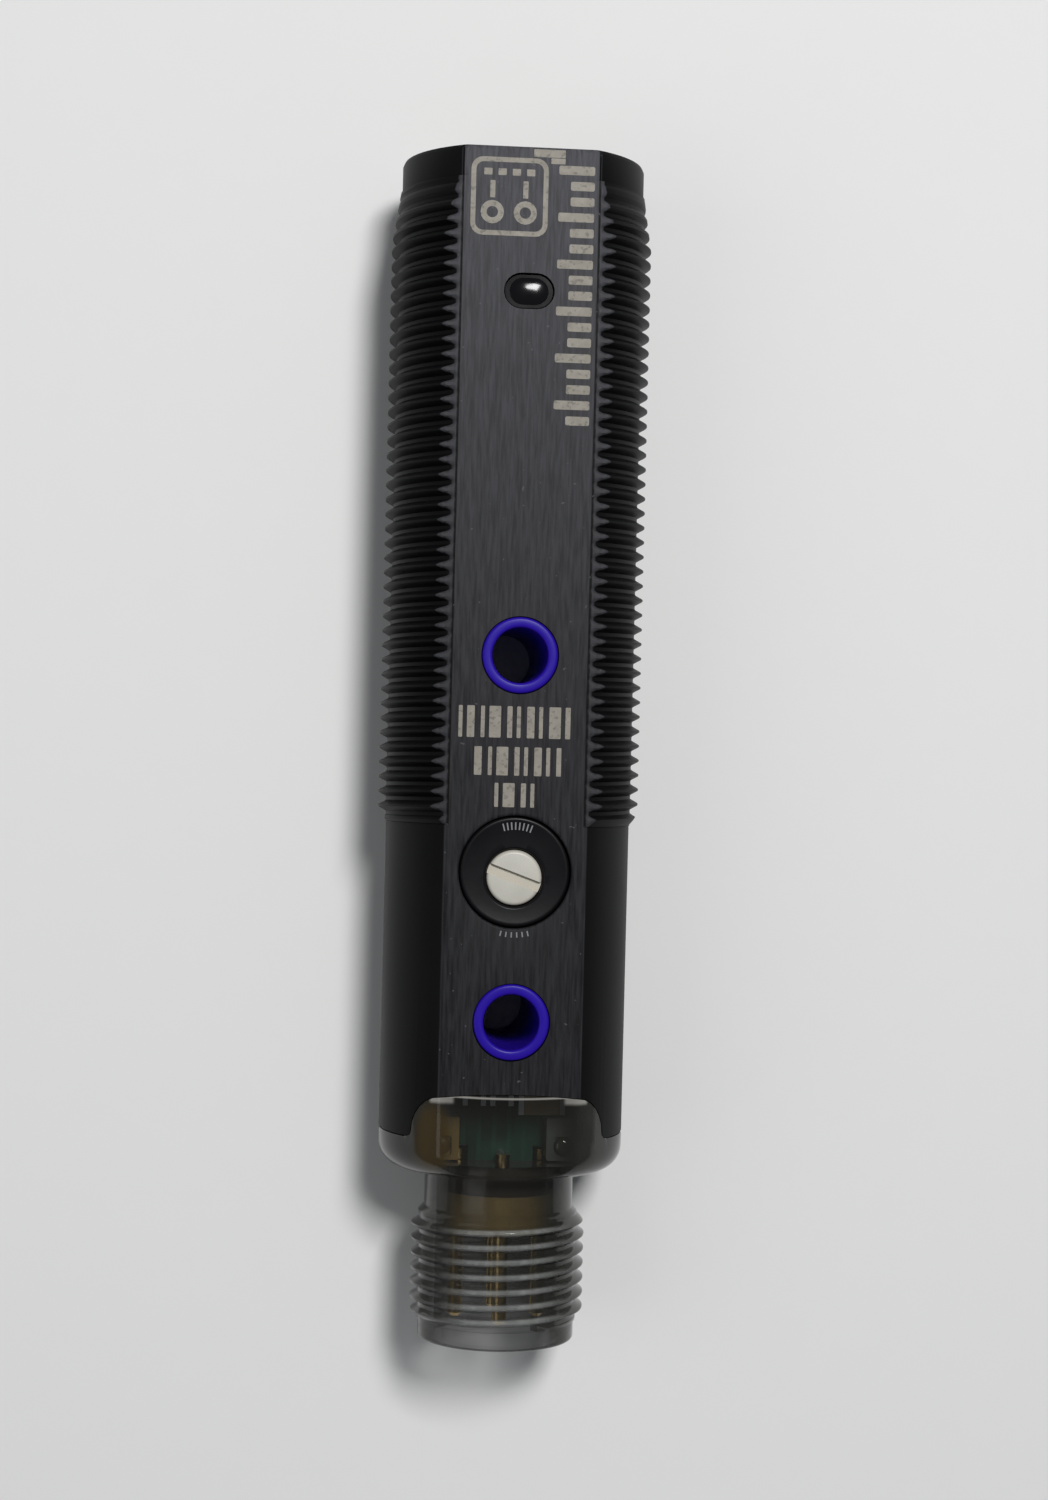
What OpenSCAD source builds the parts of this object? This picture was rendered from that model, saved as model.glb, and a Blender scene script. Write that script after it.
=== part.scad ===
// Tubular photoelectric sensor: a threaded barrel with two flats, a two-lens optic at its
// front end, a slotted sensitivity trimmer between two cross sleeves, and a clear tail with
// the round plug connector.
//
// Frame: the barrel lies along Y with its lens at +Y, its trimmer flat faces +Z, and its back
// flat rests on z = 0. The origin is the middle of the footprint. Axial places are given as s,
// the distance behind the front face, and heights above the barrel's axis as h.

/* [Barrel] */
// Nominal size of the barrel thread
thread_d = 18; // [15:0.1:22]
// Pitch of both threads
pitch = 1; // [0.8:0.05:1.25]
// Number of full ridges on the barrel
thread_turns = 43; // [30:1:50]
// Length of the plain ring ahead of the barrel thread
front_ring_l = 2.1; // [1:0.1:4]
// Depth of each flat below the plain barrel
flat_cut = 1.36; // [1.1:0.01:1.7]
// Wall of the barrel, round the bore and under the flats
wall = 1.2; // [1:0.05:1.45]

/* [Cross sleeves] */
// Distance from the front face to the first sleeve
sleeve_front_s = 33.8; // [28:0.1:41]
// Distance between the two sleeves
sleeve_spacing = 24.4; // [20:0.1:30]
// Outer diameter of a sleeve
sleeve_d = 5.1; // [4.2:0.1:6.2]
// Bore of a sleeve, for an M3 screw
sleeve_bore = 3.7; // [3.1:0.1:4]

/* [Trimmer] */
// Distance from the rear sleeve forward to the trimmer
trimmer_to_sleeve = 9.6; // [8.4:0.1:11.6]
// Diameter of the trimmer's head
head_d = 3.7; // [3.1:0.1:4.6]
// Opening in the flat round the trimmer
trimmer_hole_d = 7.5; // [6.5:0.1:8.6]
// Width of the screwdriver slot
slot_w = 0.6; // [0.5:0.05:1]
// Direction of the slot at rest, from +X
slot_angle = -20; // [-90:1:90]

/* [Tail] */
// Distance from the rear sleeve to the rear window
window_from_sleeve = 5; // [4.2:0.1:6]
// Length of the rear window
window_l = 2.9; // [2.4:0.1:3.5]
// Length of the tail's full-width part
cap_l = 2.6; // [2.3:0.1:3.2]
// Length of the neck ahead of the plug thread
neck_l = 3; // [2.5:0.1:3.6]
// Nominal size of the plug thread
plug_d = 12; // [10:0.1:14.4]
// Number of full ridges on the plug
plug_turns = 7; // [6:1:9]
// Length of the plain ring at the plug's mouth
pilot_l = 1.3; // [1:0.1:2]
// Wall of the plug shell under its thread
shell_wall = 1.15; // [0.95:0.05:1.4]
// Diameter of a contact pin
pin_d = 1; // [0.8:0.05:1.2]

/* [Circuit board] */
// Thickness of the circuit board
board_t = 1.6; // [1.3:0.1:2]

/* [Hidden] */

$fn = 96;
over = 1;                                  // how far a cutting shape runs past what it cuts

// Clearances
slip = 0.08;                               // a part that slides into the barrel
fit = 0.05;                                // a part that is pushed or glued into a seat
turn_gap = 0.05;                           // the trimmer's shaft in its bore
soft_gap = 0.02;                           // a seal beside what it seals
board_gap = 0.25;                          // the board round a sleeve

// Barrel section
thread_allow = 0.1;                        // crests lie this far under the nominal size
thread_h = 5 / 8 * sqrt(3) / 2 * pitch;    // depth of a 60 degree thread with truncated crests
crest_w = pitch / 8;
root_w = pitch / 4;
crest_r = (thread_d - thread_allow) / 2;
root_r = crest_r - thread_h;
plain_r = root_r - 0.05;
flat_h = plain_r - flat_cut;               // half the distance across the flats
bore_r = plain_r - wall;
bore_h = flat_h - wall;
lead_in_turns = 4;                         // ridges that rise to full height at the front
front_chamfer = 0.3;

// Axial layout
sleeve_rear_s = sleeve_front_s + sleeve_spacing;
sleeves_mid_s = sleeve_front_s + sleeve_spacing / 2;
trimmer_s = sleeve_rear_s - trimmer_to_sleeve;
window_s = sleeve_rear_s + window_from_sleeve;
housing_l = window_s + window_l;
cap_end_s = housing_l + cap_l;
plug_thread_s = cap_end_s + neck_l;
plug_thread_end_s = plug_thread_s + (plug_turns + 0.5) * pitch;
total_l = plug_thread_end_s + pilot_l;
front_y = total_l / 2;
axis_z = flat_h;

// Front optic
lens_rim = 0.8;                            // barrel left round the lens plate
lens_t = 1.5;
lens_set_back = 0.1;
lens_r = plain_r - lens_rim;
lens_h = flat_h - lens_rim;
lens_back_s = lens_set_back + lens_t;
divider = 0.8;                             // light barrier between the two channels
carrier_r = bore_r - slip;
carrier_h = bore_h - slip;
channel_edge = 0.75;                       // carrier left outside each channel
optic_x = (carrier_r - channel_edge + divider / 2) / 2;
dome_d = 2 * (optic_x - divider / 2);
dome_h = 1.2;
film_t = 0.3;
carrier_s = lens_back_s + fit;
film_seat_s = lens_back_s + dome_h + 1;
carrier_l = 12;
carrier_end_s = carrier_s + carrier_l;
tube_d = dome_d - 0.9;
led_d = 3;
led_flange_d = 3.8;
led_flange_t = 1;
led_tip_s = carrier_end_s - 4.3;
lead_w = 0.5;
lead_h = board_t / 2 + lead_w / 2 + soft_gap;
lead_on_board = 2.5;
rail_l = 4.5;
rail_h = 1.6;                              // half height of a rail
rail_in_x = optic_x + led_flange_d / 2 + 0.1;
rail_out_x = sqrt(pow(carrier_r, 2) - pow(rail_h, 2)) - 0.05;

// Snap boss of the optic carrier and its window in the flat
boss_s = 9.6;
boss_w = 3.4;
boss_l = 2.4;
boss_drop = 0.25;                          // how far the boss stays under the flat

// Circuit board
board_s = carrier_end_s + 2.4;
rail_slot_l = carrier_end_s + rail_l - board_s + fit;
board_w = 2 * (rail_out_x - 0.5);
sleeve_hole_d = sleeve_d + 2 * board_gap;
shield_w = 8.4;

// Sleeve seals
seal_t = 1;
seal_mid_r = sleeve_d / 2 + seal_t / 2 + soft_gap;

// Tail
spigot_s = sleeve_rear_s + seal_mid_r + seal_t / 2 + 0.35;
spigot_r = bore_r - slip;
spigot_h = bore_h - slip;
spigot_wall = 0.95;
tail_in_r = spigot_r - spigot_wall;
tail_in_h = spigot_h - spigot_wall;
cap_corner = 1.7;                          // rounding of the tail's rear shoulder
cap_floor = 0.6;
cap_cavity_end_s = cap_end_s - cap_floor;
window_front_w = sqrt(pow(plain_r, 2) - pow(flat_h, 2)) + 0.1;   // half widths of the window
window_rear_w = plain_r - 1.9;
window_foot = 0.4;                         // fillet where its sides meet the rear seam
window_floor_h = bore_r * 0.42;            // height at which its sides stop
window_bow = 0.2;                          // rise of the arched edge at the flat's end
plug_crest_r = (plug_d - thread_allow) / 2;
plug_root_r = plug_crest_r - thread_h;
pilot_r = plug_root_r - 0.05;
neck_r = plug_root_r - 0.3;
socket_r = plug_root_r - shell_wall;
pin_margin = 0.93;                         // socket left outside the pins
pin_circle_r = socket_r - pin_margin - pin_d / 2;
carrier_disc_s = plug_thread_s - 1.4;
carrier_disc_t = 2.6;
resin_s = cap_cavity_end_s + 0.2;
resin_end_s = carrier_disc_s - fit;
link_d = 0.6;                              // posts from the board to the outer contacts
pin_start_s = resin_s - link_d - 0.15;
pin_tip_gap = 1.4;                         // pin tips stay inside the mouth
pin_end_s = total_l - pin_tip_gap;
collar_d = pin_d + 0.5;                    // each pin has a collar at the back of the carrier
collar_l = 1.3;
key_angle = 45;                            // coding rib, from +X towards the trimmer flat
key_w = 1.1;
key_h = 0.65;

// Circuit board ends
board_step_s = spigot_s - 0.4;
board_tail_w = 2 * tail_in_r - 1;
board_shoulder_s = cap_cavity_end_s - 0.1;
board_tongue_w = 2 * (pin_circle_r + 0.9);
board_end_s = carrier_disc_s - 0.2;

// Trimmer stack, as heights above the axis
hole_s = trimmer_s - 0.4;                  // the opening's middle lies ahead of the trimmer's
seal_flange_t = 1.2;
seal_top_h = flat_h - 0.3;
seal_flange_top_h = bore_h - 0.1;
seal_flange_r = min(trimmer_hole_d / 2 + 0.6,
    sqrt(pow(bore_r, 2) - pow(seal_flange_top_h, 2)) - slip);
seal_edge = 0.25;                          // chamfer round the seal's top
seal_bottom_h = seal_flange_top_h - seal_flange_t;
base_top_h = seal_bottom_h - 0.1;
base_w = 6.6;
base_cavity_d = 4.8;
base_floor_t = 0.8;
wiper_t = 0.5;
wiper_d = 4.4;
shaft_d = 2.2;
head_bottom_h = base_top_h + 0.2;
head_top_h = flat_h - 0.45;
head_chamfer = 0.3;
slot_depth = 0.6;
wiper_h = board_t / 2 + base_floor_t + 0.2;
base_roof_h = wiper_h + wiper_t + 0.3;

// Board components: [length along X, length along Y, height]
chip_0603 = [1.6, 0.8, 0.45];
chip_1206 = [3.2, 1.6, 1.1];
chip_cap_w = 0.35;                         // end terminal of a chip part
signal_chip = [5, 4.4, 1];
sot23 = [2.9, 1.3, 1];
sot89 = [4.5, 2.5, 1.5];
tantalum = [1.6, 3.2, 1.6];
surge = [2.6, 4.3, 2.2];
status_led = [2.4, 2.9, 1.9];
lamp_window = [1.4, 1.4, 0.1];
part_gap = 0.5;                            // between neighbours on the board
signal_s = sleeves_mid_s;
regulator_s = signal_s + signal_chip[1] / 2 + 1 + part_gap + sot89[1] / 2;
transistor_s = signal_s - signal_chip[1] / 2 - 1 - part_gap - sot23[1] / 2 - 0.6;
status_led_x = board_tail_w / 2 - status_led[0] / 2 - 0.25;
status_led_s = board_shoulder_s - status_led[1] / 2;
tail_parts_s = (board_step_s + board_shoulder_s) / 2;

// [x, s, part] of the chip parts on the board's top face
resistor_places = [
    [-1.9, window_s + 0.9], [0, window_s + 0.9],
    [-4.6, trimmer_s - base_w / 2 - 1.2], [-4.6, trimmer_s - base_w / 2 - 2.6],
    [4.6, trimmer_s - base_w / 2 - 1.2], [4.6, trimmer_s - base_w / 2 - 2.6],
    [-4.6, trimmer_s + base_w / 2 + 1.2], [4.6, trimmer_s + base_w / 2 + 1.2]];
capacitor_places = [[2.7, window_s + 1], [0, trimmer_s - base_w / 2 - 2]];

function y_at(s) = front_y - s;

// Points of an arc from angle a to angle b round [x, y]
function arc(x, y, r, a, b, n = 8) =
    [for (i = [0:n]) [x + r * cos(a + (b - a) * i / n), y + r * sin(a + (b - a) * i / n)]];

// Outline of a ridged cylinder as [radius, s]: each ridge has a flat crest and 60 degree flanks,
// and the first lead_in ridges rise step by step
function ridges(root, crest, s0, turns, lead_in = 0) = [
    for (i = [0:turns - 1])
        let (rise = (crest - root) * (lead_in == 0 ? 1 : min(1, (i + 1) / (lead_in + 1))),
            run = rise / (crest - root) * (pitch - crest_w - root_w) / 2,
            mid = s0 + (i + 0.5) * pitch)
        each [[root, mid - crest_w / 2 - run], [root + rise, mid - crest_w / 2],
            [root + rise, mid + crest_w / 2], [root, mid + crest_w / 2 + run]]];

// Places children so that their z runs rearwards along the axis from s, and their y runs up
module on_axis(s = 0) {
    translate([0, y_at(s), axis_z]) rotate([90, 0, 0]) children();
}

// Places children upright at s and x, with z counted from the axis
module upright(s, x = 0, h = 0) {
    translate([x, y_at(s), axis_z + h]) children();
}

// Solid of revolution about the axis, from [radius, s] points that start and end on the axis
module turned(points) {
    on_axis() rotate_extrude() polygon(points);
}

// Round bar with two flats, from s0 to s1
module flatted(r, h, s0, s1) {
    on_axis(s0) intersection() {
        cylinder(r = r, h = s1 - s0);
        translate([-r - over, -h, -over]) cube([2 * (r + over), 2 * h, s1 - s0 + 2 * over]);
    }
}

// Slab that keeps what lies between the two flats
module between_flats(h) {
    translate([-2 * plain_r, -front_y - over, axis_z - h])
        cube([4 * plain_r, total_l + 2 * over, 2 * h]);
}

// Upright hole or pin
module post(s, d, h0, h1, x = 0) {
    upright(s, x, h0) cylinder(d = d, h = h1 - h0);
}

// Plan outline of the rear window, grown by g, with s running from the front
module window_plan(g) {
    front = window_s - g;
    foot = housing_l - window_foot;
    half = window_front_w + g;
    spread = window_rear_w - window_front_w;
    bow = [for (i = [-6:6]) [half * i / 6, front - window_bow * (1 - pow(i / 6, 2))]];
    side = [for (i = [1:6]) [half + spread * sin(15 * i), front + (foot - front) * (1 - cos(15 * i))]];
    fillet = arc(half + spread + window_foot, foot, window_foot, 180, 90);
    right = concat(side, fillet, [[half + spread + window_foot, housing_l + over]]);
    polygon(concat(bow, right, [for (i = [len(right) - 1:-1:0]) [-right[i][0], right[i][1]]]));
}

module window_prism(g, floor_h) {
    translate([0, front_y, axis_z + floor_h]) mirror([0, 1, 0])
        linear_extrude(2 * plain_r) window_plan(g);
}

// ---------------------------------------------------------------- housing

module housing() {
    color([0.05, 0.05, 0.055]) difference() {
        intersection() {
            turned(concat(
                [[0, 0], [plain_r - 0.06 - front_chamfer, 0], [plain_r - 0.06, front_chamfer],
                    [plain_r - 0.06, front_ring_l], [root_r, front_ring_l]],
                ridges(root_r, crest_r, front_ring_l, thread_turns, lead_in_turns),
                [[root_r, front_ring_l + thread_turns * pitch],
                    [plain_r, front_ring_l + thread_turns * pitch],
                    [plain_r, housing_l], [0, housing_l]]));
            between_flats(flat_h);
        }
        flatted(bore_r, bore_h, lens_back_s, housing_l + over);
        flatted(lens_r, lens_h, -over, lens_back_s + fit);
        for (s = [sleeve_front_s, sleeve_rear_s])
            post(s, sleeve_d + 2 * fit, -flat_h - over, flat_h + over);
        post(hole_s, trimmer_hole_d, 0, flat_h + over);
        boss_window(0);
        window_prism(0, window_floor_h);
    }
}

// Round-ended opening for the snap boss, shrunk by g
module boss_window(g) {
    reach = (boss_w - boss_l) / 2;
    for (x = [-reach, reach])
        post(boss_s, boss_l - 2 * g, bore_h - over, flat_h + over, x);
    upright(boss_s, -reach, bore_h - over) translate([0, -boss_l / 2 + g, 0])
        cube([2 * reach, boss_l - 2 * g, wall + 2 * over]);
}

// ---------------------------------------------------------------- optic

module lens_plate() {
    color([0.75, 0.25, 0.25, 0.5]) {
        flatted(lens_r - fit, lens_h - fit, lens_set_back, lens_back_s);
        for (x = [-optic_x, optic_x]) lens_dome(x);
    }
}

// Spherical cap on the back of the lens plate
module lens_dome(x) {
    cap_r = dome_d / 2 - 0.2;
    ball_r = (pow(cap_r, 2) + pow(dome_h, 2)) / (2 * dome_h);
    translate([x, 0, 0]) on_axis(lens_back_s - 0.01) intersection() {
        translate([0, 0, dome_h - ball_r]) sphere(r = ball_r);
        cylinder(r = cap_r, h = dome_h + over);
    }
}

module optic_carrier() {
    color([0.07, 0.07, 0.08]) {
        difference() {
            union() {
                flatted(carrier_r, carrier_h, carrier_s, carrier_end_s);
                for (side = [-1, 1]) carrier_rail(side);
                snap_boss();
            }
            for (x = [-optic_x, optic_x]) translate([x, 0, 0]) {
                on_axis(carrier_s - over) cylinder(d = dome_d, h = film_seat_s - carrier_s + over);
                on_axis(film_seat_s - over)
                    cylinder(d = tube_d, h = led_tip_s - film_seat_s + over);
                on_axis(led_tip_s - over) cylinder(d = led_d + 2 * fit, h = 20);
            }
        }
    }
}

// Slotted rail that holds one front corner of the circuit board
module carrier_rail(side) {
    mirror([side < 0 ? 1 : 0, 0, 0]) difference() {
        translate([rail_in_x, y_at(carrier_end_s + rail_l), axis_z - rail_h])
            cube([rail_out_x - rail_in_x, rail_l + over, 2 * rail_h]);
        translate([rail_in_x - over, y_at(carrier_end_s + rail_l) - over,
            axis_z - board_t / 2 - fit])
            cube([board_w / 2 + fit - rail_in_x + over, rail_slot_l + over, board_t + 2 * fit]);
    }
}

module snap_boss() {
    intersection() {
        boss_window(0.1);
        upright(boss_s, 0, 0) translate([-boss_w, -boss_l, 0])
            cube([2 * boss_w, 2 * boss_l, flat_h - boss_drop]);
    }
}

module polariser(x, colour) {
    color(colour) translate([x, 0, 0]) on_axis(film_seat_s - film_t - fit)
        cylinder(d = dome_d - 2 * fit, h = film_t);
}

// Lamp-shaped epoxy body with a domed tip and a flange
module lamp(x, colour) {
    body_l = carrier_end_s + fit - led_tip_s;
    color(colour) translate([x, 0, 0]) on_axis(led_tip_s) {
        translate([0, 0, led_d / 2]) sphere(d = led_d);
        translate([0, 0, led_d / 2]) cylinder(d = led_d, h = body_l - led_d / 2 + 0.1);
        translate([0, 0, body_l]) cylinder(d = led_flange_d, h = led_flange_t);
    }
}

// The two leads of a lamp, one on each face of the circuit board
module lamp_leads(x) {
    start = carrier_end_s + fit + led_flange_t;
    color([0.75, 0.75, 0.74]) for (side = [-1, 1])
        translate([x - lead_w / 2, y_at(board_s + lead_on_board),
            axis_z + side * lead_h - lead_w / 2])
            cube([lead_w, board_s + lead_on_board - start, lead_w]);
}

// ---------------------------------------------------------------- circuit board

module circuit_board() {
    half = board_w / 2;
    tail = board_tail_w / 2;
    tongue = board_tongue_w / 2;
    color([0.08, 0.32, 0.2]) difference() {
        translate([0, front_y, axis_z - board_t / 2]) mirror([0, 1, 0])
            linear_extrude(board_t) polygon([
                [-half, board_s], [half, board_s], [half, board_step_s], [tail, board_step_s],
                [tail, board_shoulder_s], [tongue, board_shoulder_s], [tongue, board_end_s],
                [-tongue, board_end_s], [-tongue, board_shoulder_s],
                [-tail, board_shoulder_s], [-tail, board_step_s], [-half, board_step_s]]);
        for (s = [sleeve_front_s, sleeve_rear_s]) post(s, sleeve_hole_d, -board_t, board_t);
        for (x = [-pin_circle_r, pin_circle_r])
            translate([x - pin_d / 2 - 0.1, y_at(board_end_s + over), axis_z - board_t])
                cube([pin_d + 0.2, board_end_s + over - pin_start_s + 0.3, 2 * board_t]);
    }
}

// Box of a component at [x, s], on the top face (side 1) or the bottom face (side -1)
module on_board(size, x, s, side = 1, lift = 0) {
    h = board_t / 2 + lift;
    translate([x - size[0] / 2, y_at(s) - size[1] / 2, side > 0 ? axis_z + h : axis_z - h - size[2]])
        cube(size);
}

// Folded shield over the receiver amplifier, open towards the board
module receiver_shield() {
    sheet = 0.2;
    front_s = board_s + lead_on_board + part_gap;
    rear_s = sleeve_front_s - sleeve_hole_d / 2 - part_gap;
    size = [shield_w, rear_s - front_s, 2.4];
    mid = (front_s + rear_s) / 2;
    color([0.72, 0.72, 0.7]) difference() {
        on_board(size, 0, mid);
        on_board([size[0] - 2 * sheet, size[1] - 2 * sheet, size[2] - sheet], 0, mid, 1, -0.01);
    }
}

module signal_chip() {
    color([0.06, 0.06, 0.06]) on_board(signal_chip, 0, signal_s, -1, 0.1);
}

module signal_chip_leads() {
    foot = [0.22, 0.9, 0.25];
    color([0.75, 0.75, 0.74]) for (i = [0:7], end = [-1, 1])
        on_board(foot, (i - 3.5) * 0.62, signal_s + end * (signal_chip[1] + foot[1]) / 2, -1);
}

module regulator() {
    color([0.06, 0.06, 0.06]) on_board(sot89, 0, regulator_s, -1);
}

module regulator_leads() {
    color([0.75, 0.75, 0.74]) for (x = [-1.5, 0, 1.5])
        on_board([0.5, 0.7, 0.4], x, regulator_s + (sot89[1] + 0.7) / 2, -1);
}

module output_transistors() {
    color([0.06, 0.06, 0.06]) for (x = [-2.4, 2.4]) on_board(sot23, x, transistor_s, -1);
}

module transistor_leads() {
    foot = [0.4, 0.5, 0.2];
    reach = (sot23[1] + foot[1]) / 2;
    color([0.75, 0.75, 0.74]) for (x = [-2.4, 2.4]) {
        on_board(foot, x, transistor_s + reach, -1);
        for (side = [-0.95, 0.95]) on_board(foot, x + side, transistor_s - reach, -1);
    }
}

// Middle part of a chip component, between its end terminals
module chip_body(size, x, s) {
    on_board([size[0] - 2 * chip_cap_w, size[1], size[2]], x, s);
}

module chip_ends(size, x, s) {
    for (side = [-1, 1])
        on_board([chip_cap_w, size[1], size[2]], x + side * (size[0] - chip_cap_w) / 2, s);
}

module chip_resistors() {
    color([0.08, 0.08, 0.09]) for (p = resistor_places) chip_body(chip_0603, p[0], p[1]);
}

module chip_capacitors() {
    color([0.62, 0.52, 0.4]) for (p = capacitor_places) chip_body(chip_1206, p[0], p[1]);
}

module chip_terminals() {
    color([0.78, 0.78, 0.76]) {
        for (p = resistor_places) chip_ends(chip_0603, p[0], p[1]);
        for (p = capacitor_places) chip_ends(chip_1206, p[0], p[1]);
    }
}

module tantalum_capacitor() {
    color([0.85, 0.6, 0.15]) on_board(tantalum, -2.2, tail_parts_s, -1);
}

module surge_diode() {
    color([0.07, 0.07, 0.07]) on_board(surge, 2, tail_parts_s, -1);
}

// Status lamp: a cup with a slightly raised window near its rear end
module status_led(x, colour) {
    color(colour) {
        on_board(status_led, x, status_led_s);
        on_board(lamp_window, x, status_led_s + 0.5, 1, status_led[2]);
    }
}

// ---------------------------------------------------------------- trimmer

module trimmer_base() {
    color([0.1, 0.25, 0.6]) difference() {
        on_board([base_w, base_w, base_top_h - board_t / 2], 0, trimmer_s);
        post(trimmer_s, base_cavity_d, board_t / 2 + base_floor_t, base_roof_h);
        post(trimmer_s, shaft_d + 2 * turn_gap, base_roof_h - 0.01, base_top_h + over);
    }
}

module trimmer_terminals() {
    color([0.78, 0.78, 0.76]) {
        for (x = [-1.6, 1.6])
            on_board([0.8, 0.6, 0.3], x, trimmer_s + (base_w + 0.6) / 2);
        on_board([0.8, 0.6, 0.3], 0, trimmer_s - (base_w + 0.6) / 2);
    }
}

module trimmer_wiper() {
    color([0.8, 0.62, 0.25]) post(trimmer_s, wiper_d, wiper_h, wiper_h + wiper_t);
}

module trimmer_rotor() {
    color([0.88, 0.87, 0.83]) difference() {
        union() {
            post(trimmer_s, head_d, head_bottom_h, head_top_h - head_chamfer);
            upright(trimmer_s, 0, head_top_h - head_chamfer)
                cylinder(d1 = head_d, d2 = head_d - 2 * head_chamfer, h = head_chamfer);
            post(trimmer_s, shaft_d, wiper_h + wiper_t, head_bottom_h + 0.1);
        }
        upright(trimmer_s, 0, head_top_h - slot_depth) rotate([0, 0, slot_angle])
            translate([-head_d, -slot_w / 2, 0]) cube([2 * head_d, slot_w, slot_depth + over]);
    }
}

// Rubber plug that closes the opening round the trimmer's head
module trimmer_seal() {
    outer = trimmer_hole_d / 2 - fit;
    color([0.04, 0.04, 0.045]) difference() {
        upright(hole_s) rotate_extrude() polygon([
            [0, seal_bottom_h], [seal_flange_r, seal_bottom_h],
            [seal_flange_r, seal_flange_top_h], [outer, seal_flange_top_h],
            [outer, seal_top_h - seal_edge], [outer - seal_edge, seal_top_h], [0, seal_top_h]]);
        post(trimmer_s, head_d + 2 * turn_gap, 0, flat_h);
    }
}

// ---------------------------------------------------------------- cross sleeves

module sleeve(s) {
    chamfer = 0.15;
    r_in = sleeve_bore / 2;
    r_out = sleeve_d / 2;
    color([0.2, 0.06, 0.75]) upright(s) rotate_extrude() polygon([
        [r_in, -flat_h + chamfer], [r_in + chamfer, -flat_h], [r_out - chamfer, -flat_h],
        [r_out, -flat_h + chamfer], [r_out, flat_h - chamfer], [r_out - chamfer, flat_h],
        [r_in + chamfer, flat_h], [r_in, flat_h - chamfer]]);
}

// Two round seals on a sleeve, one under each flat
module sleeve_seals(s) {
    color([0.05, 0.05, 0.05]) for (side = [-1, 1])
        upright(s, 0, side * (bore_h - seal_t / 2 - soft_gap))
            rotate_extrude() translate([seal_mid_r, 0]) circle(d = seal_t, $fn = 32);
}

// ---------------------------------------------------------------- tail

module tail_cap() {
    corner = arc(plain_r - cap_corner, cap_end_s - cap_corner, cap_corner, 0, 90);
    color([0.6, 0.62, 0.6, 0.4]) difference() {
        union() {
            intersection() {
                turned(concat(
                    [[0, housing_l + fit], [plain_r, housing_l + fit]],
                    corner,
                    [[neck_r, cap_end_s], [neck_r, plug_thread_s], [plug_root_r, plug_thread_s]],
                    ridges(plug_root_r, plug_crest_r, plug_thread_s + 0.25 * pitch, plug_turns),
                    [[plug_root_r, plug_thread_end_s], [pilot_r, plug_thread_end_s],
                        [pilot_r, total_l - 0.3], [pilot_r - 0.3, total_l], [0, total_l]]));
                between_flats(flat_h);
            }
            flatted(spigot_r, spigot_h, spigot_s, housing_l + 2 * fit);
            intersection() {
                flatted(plain_r, flat_h, window_s - 1, housing_l + 2 * fit);
                window_prism(-fit, window_floor_h + fit);
            }
        }
        flatted(tail_in_r, tail_in_h, spigot_s - over, cap_cavity_end_s);
        difference() {
            on_axis(cap_cavity_end_s - over)
                cylinder(r = socket_r, h = total_l - cap_cavity_end_s + 2 * over);
            coding_rib();
        }
    }
}

// Coding rib along the socket wall
module coding_rib() {
    rib_s = carrier_disc_s + carrier_disc_t + fit;
    on_axis(rib_s) rotate([0, 0, key_angle]) translate([socket_r - key_h, -key_w / 2, 0])
        cube([key_h + over, key_w, total_l - 1 - rib_s]);
}

// Resin that seals the neck round the board's tongue and the contacts
module neck_resin() {
    tongue = [board_tongue_w + 2 * soft_gap, board_end_s - resin_s + over + soft_gap,
        board_t + 2 * soft_gap];
    color([0.12, 0.09, 0.07]) difference() {
        on_axis(resin_s) cylinder(r = socket_r - soft_gap, h = resin_end_s - resin_s);
        translate([-tongue[0] / 2, y_at(resin_s - over) - tongue[1], axis_z - tongue[2] / 2])
            cube(tongue);
        for (i = [1:4]) pin_place(i) on_axis(resin_s - over)
            cylinder(d = pin_d + 2 * soft_gap, h = resin_end_s - resin_s + 2 * over);
    }
}

module contact_carrier() {
    color([0.65, 0.42, 0.18]) difference() {
        on_axis(carrier_disc_s) cylinder(r = socket_r - fit, h = carrier_disc_t);
        for (i = [1:4]) pin_place(i) on_axis(carrier_disc_s - over) {
            cylinder(d = pin_d + 2 * soft_gap, h = carrier_disc_t + 2 * over);
            cylinder(d = collar_d + 2 * soft_gap, h = over + collar_l + soft_gap);
        }
    }
}

// Moves children from the axis to the place of contact i: 1 up, 2 right, 3 down, 4 left
module pin_place(i) {
    a = 90 * (2 - i);
    translate([pin_circle_r * cos(a), 0, pin_circle_r * sin(a)]) children();
}

module contact_pin(i) {
    tip = 0.25;
    pin_l = pin_end_s - pin_start_s;
    collar = carrier_disc_s - pin_start_s;
    color([0.83, 0.65, 0.3]) pin_place(i) on_axis(pin_start_s) rotate_extrude() polygon([
        [0, 0], [pin_d / 2, 0], [pin_d / 2, collar], [collar_d / 2, collar],
        [collar_d / 2, collar + collar_l], [pin_d / 2, collar + collar_l],
        [pin_d / 2, pin_l - tip], [pin_d / 2 - tip, pin_l], [0, pin_l]]);
}

// Posts that join the upper and lower contacts to the board's tongue
module contact_links() {
    reach = pin_circle_r - pin_d / 2 - soft_gap;
    color([0.78, 0.78, 0.76]) for (side = [0, 1]) mirror([0, 0, side])
        translate([0, 0, side == 1 ? -2 * axis_z : 0])
            post(pin_start_s + link_d / 2, link_d, board_t / 2, reach);
}

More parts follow.
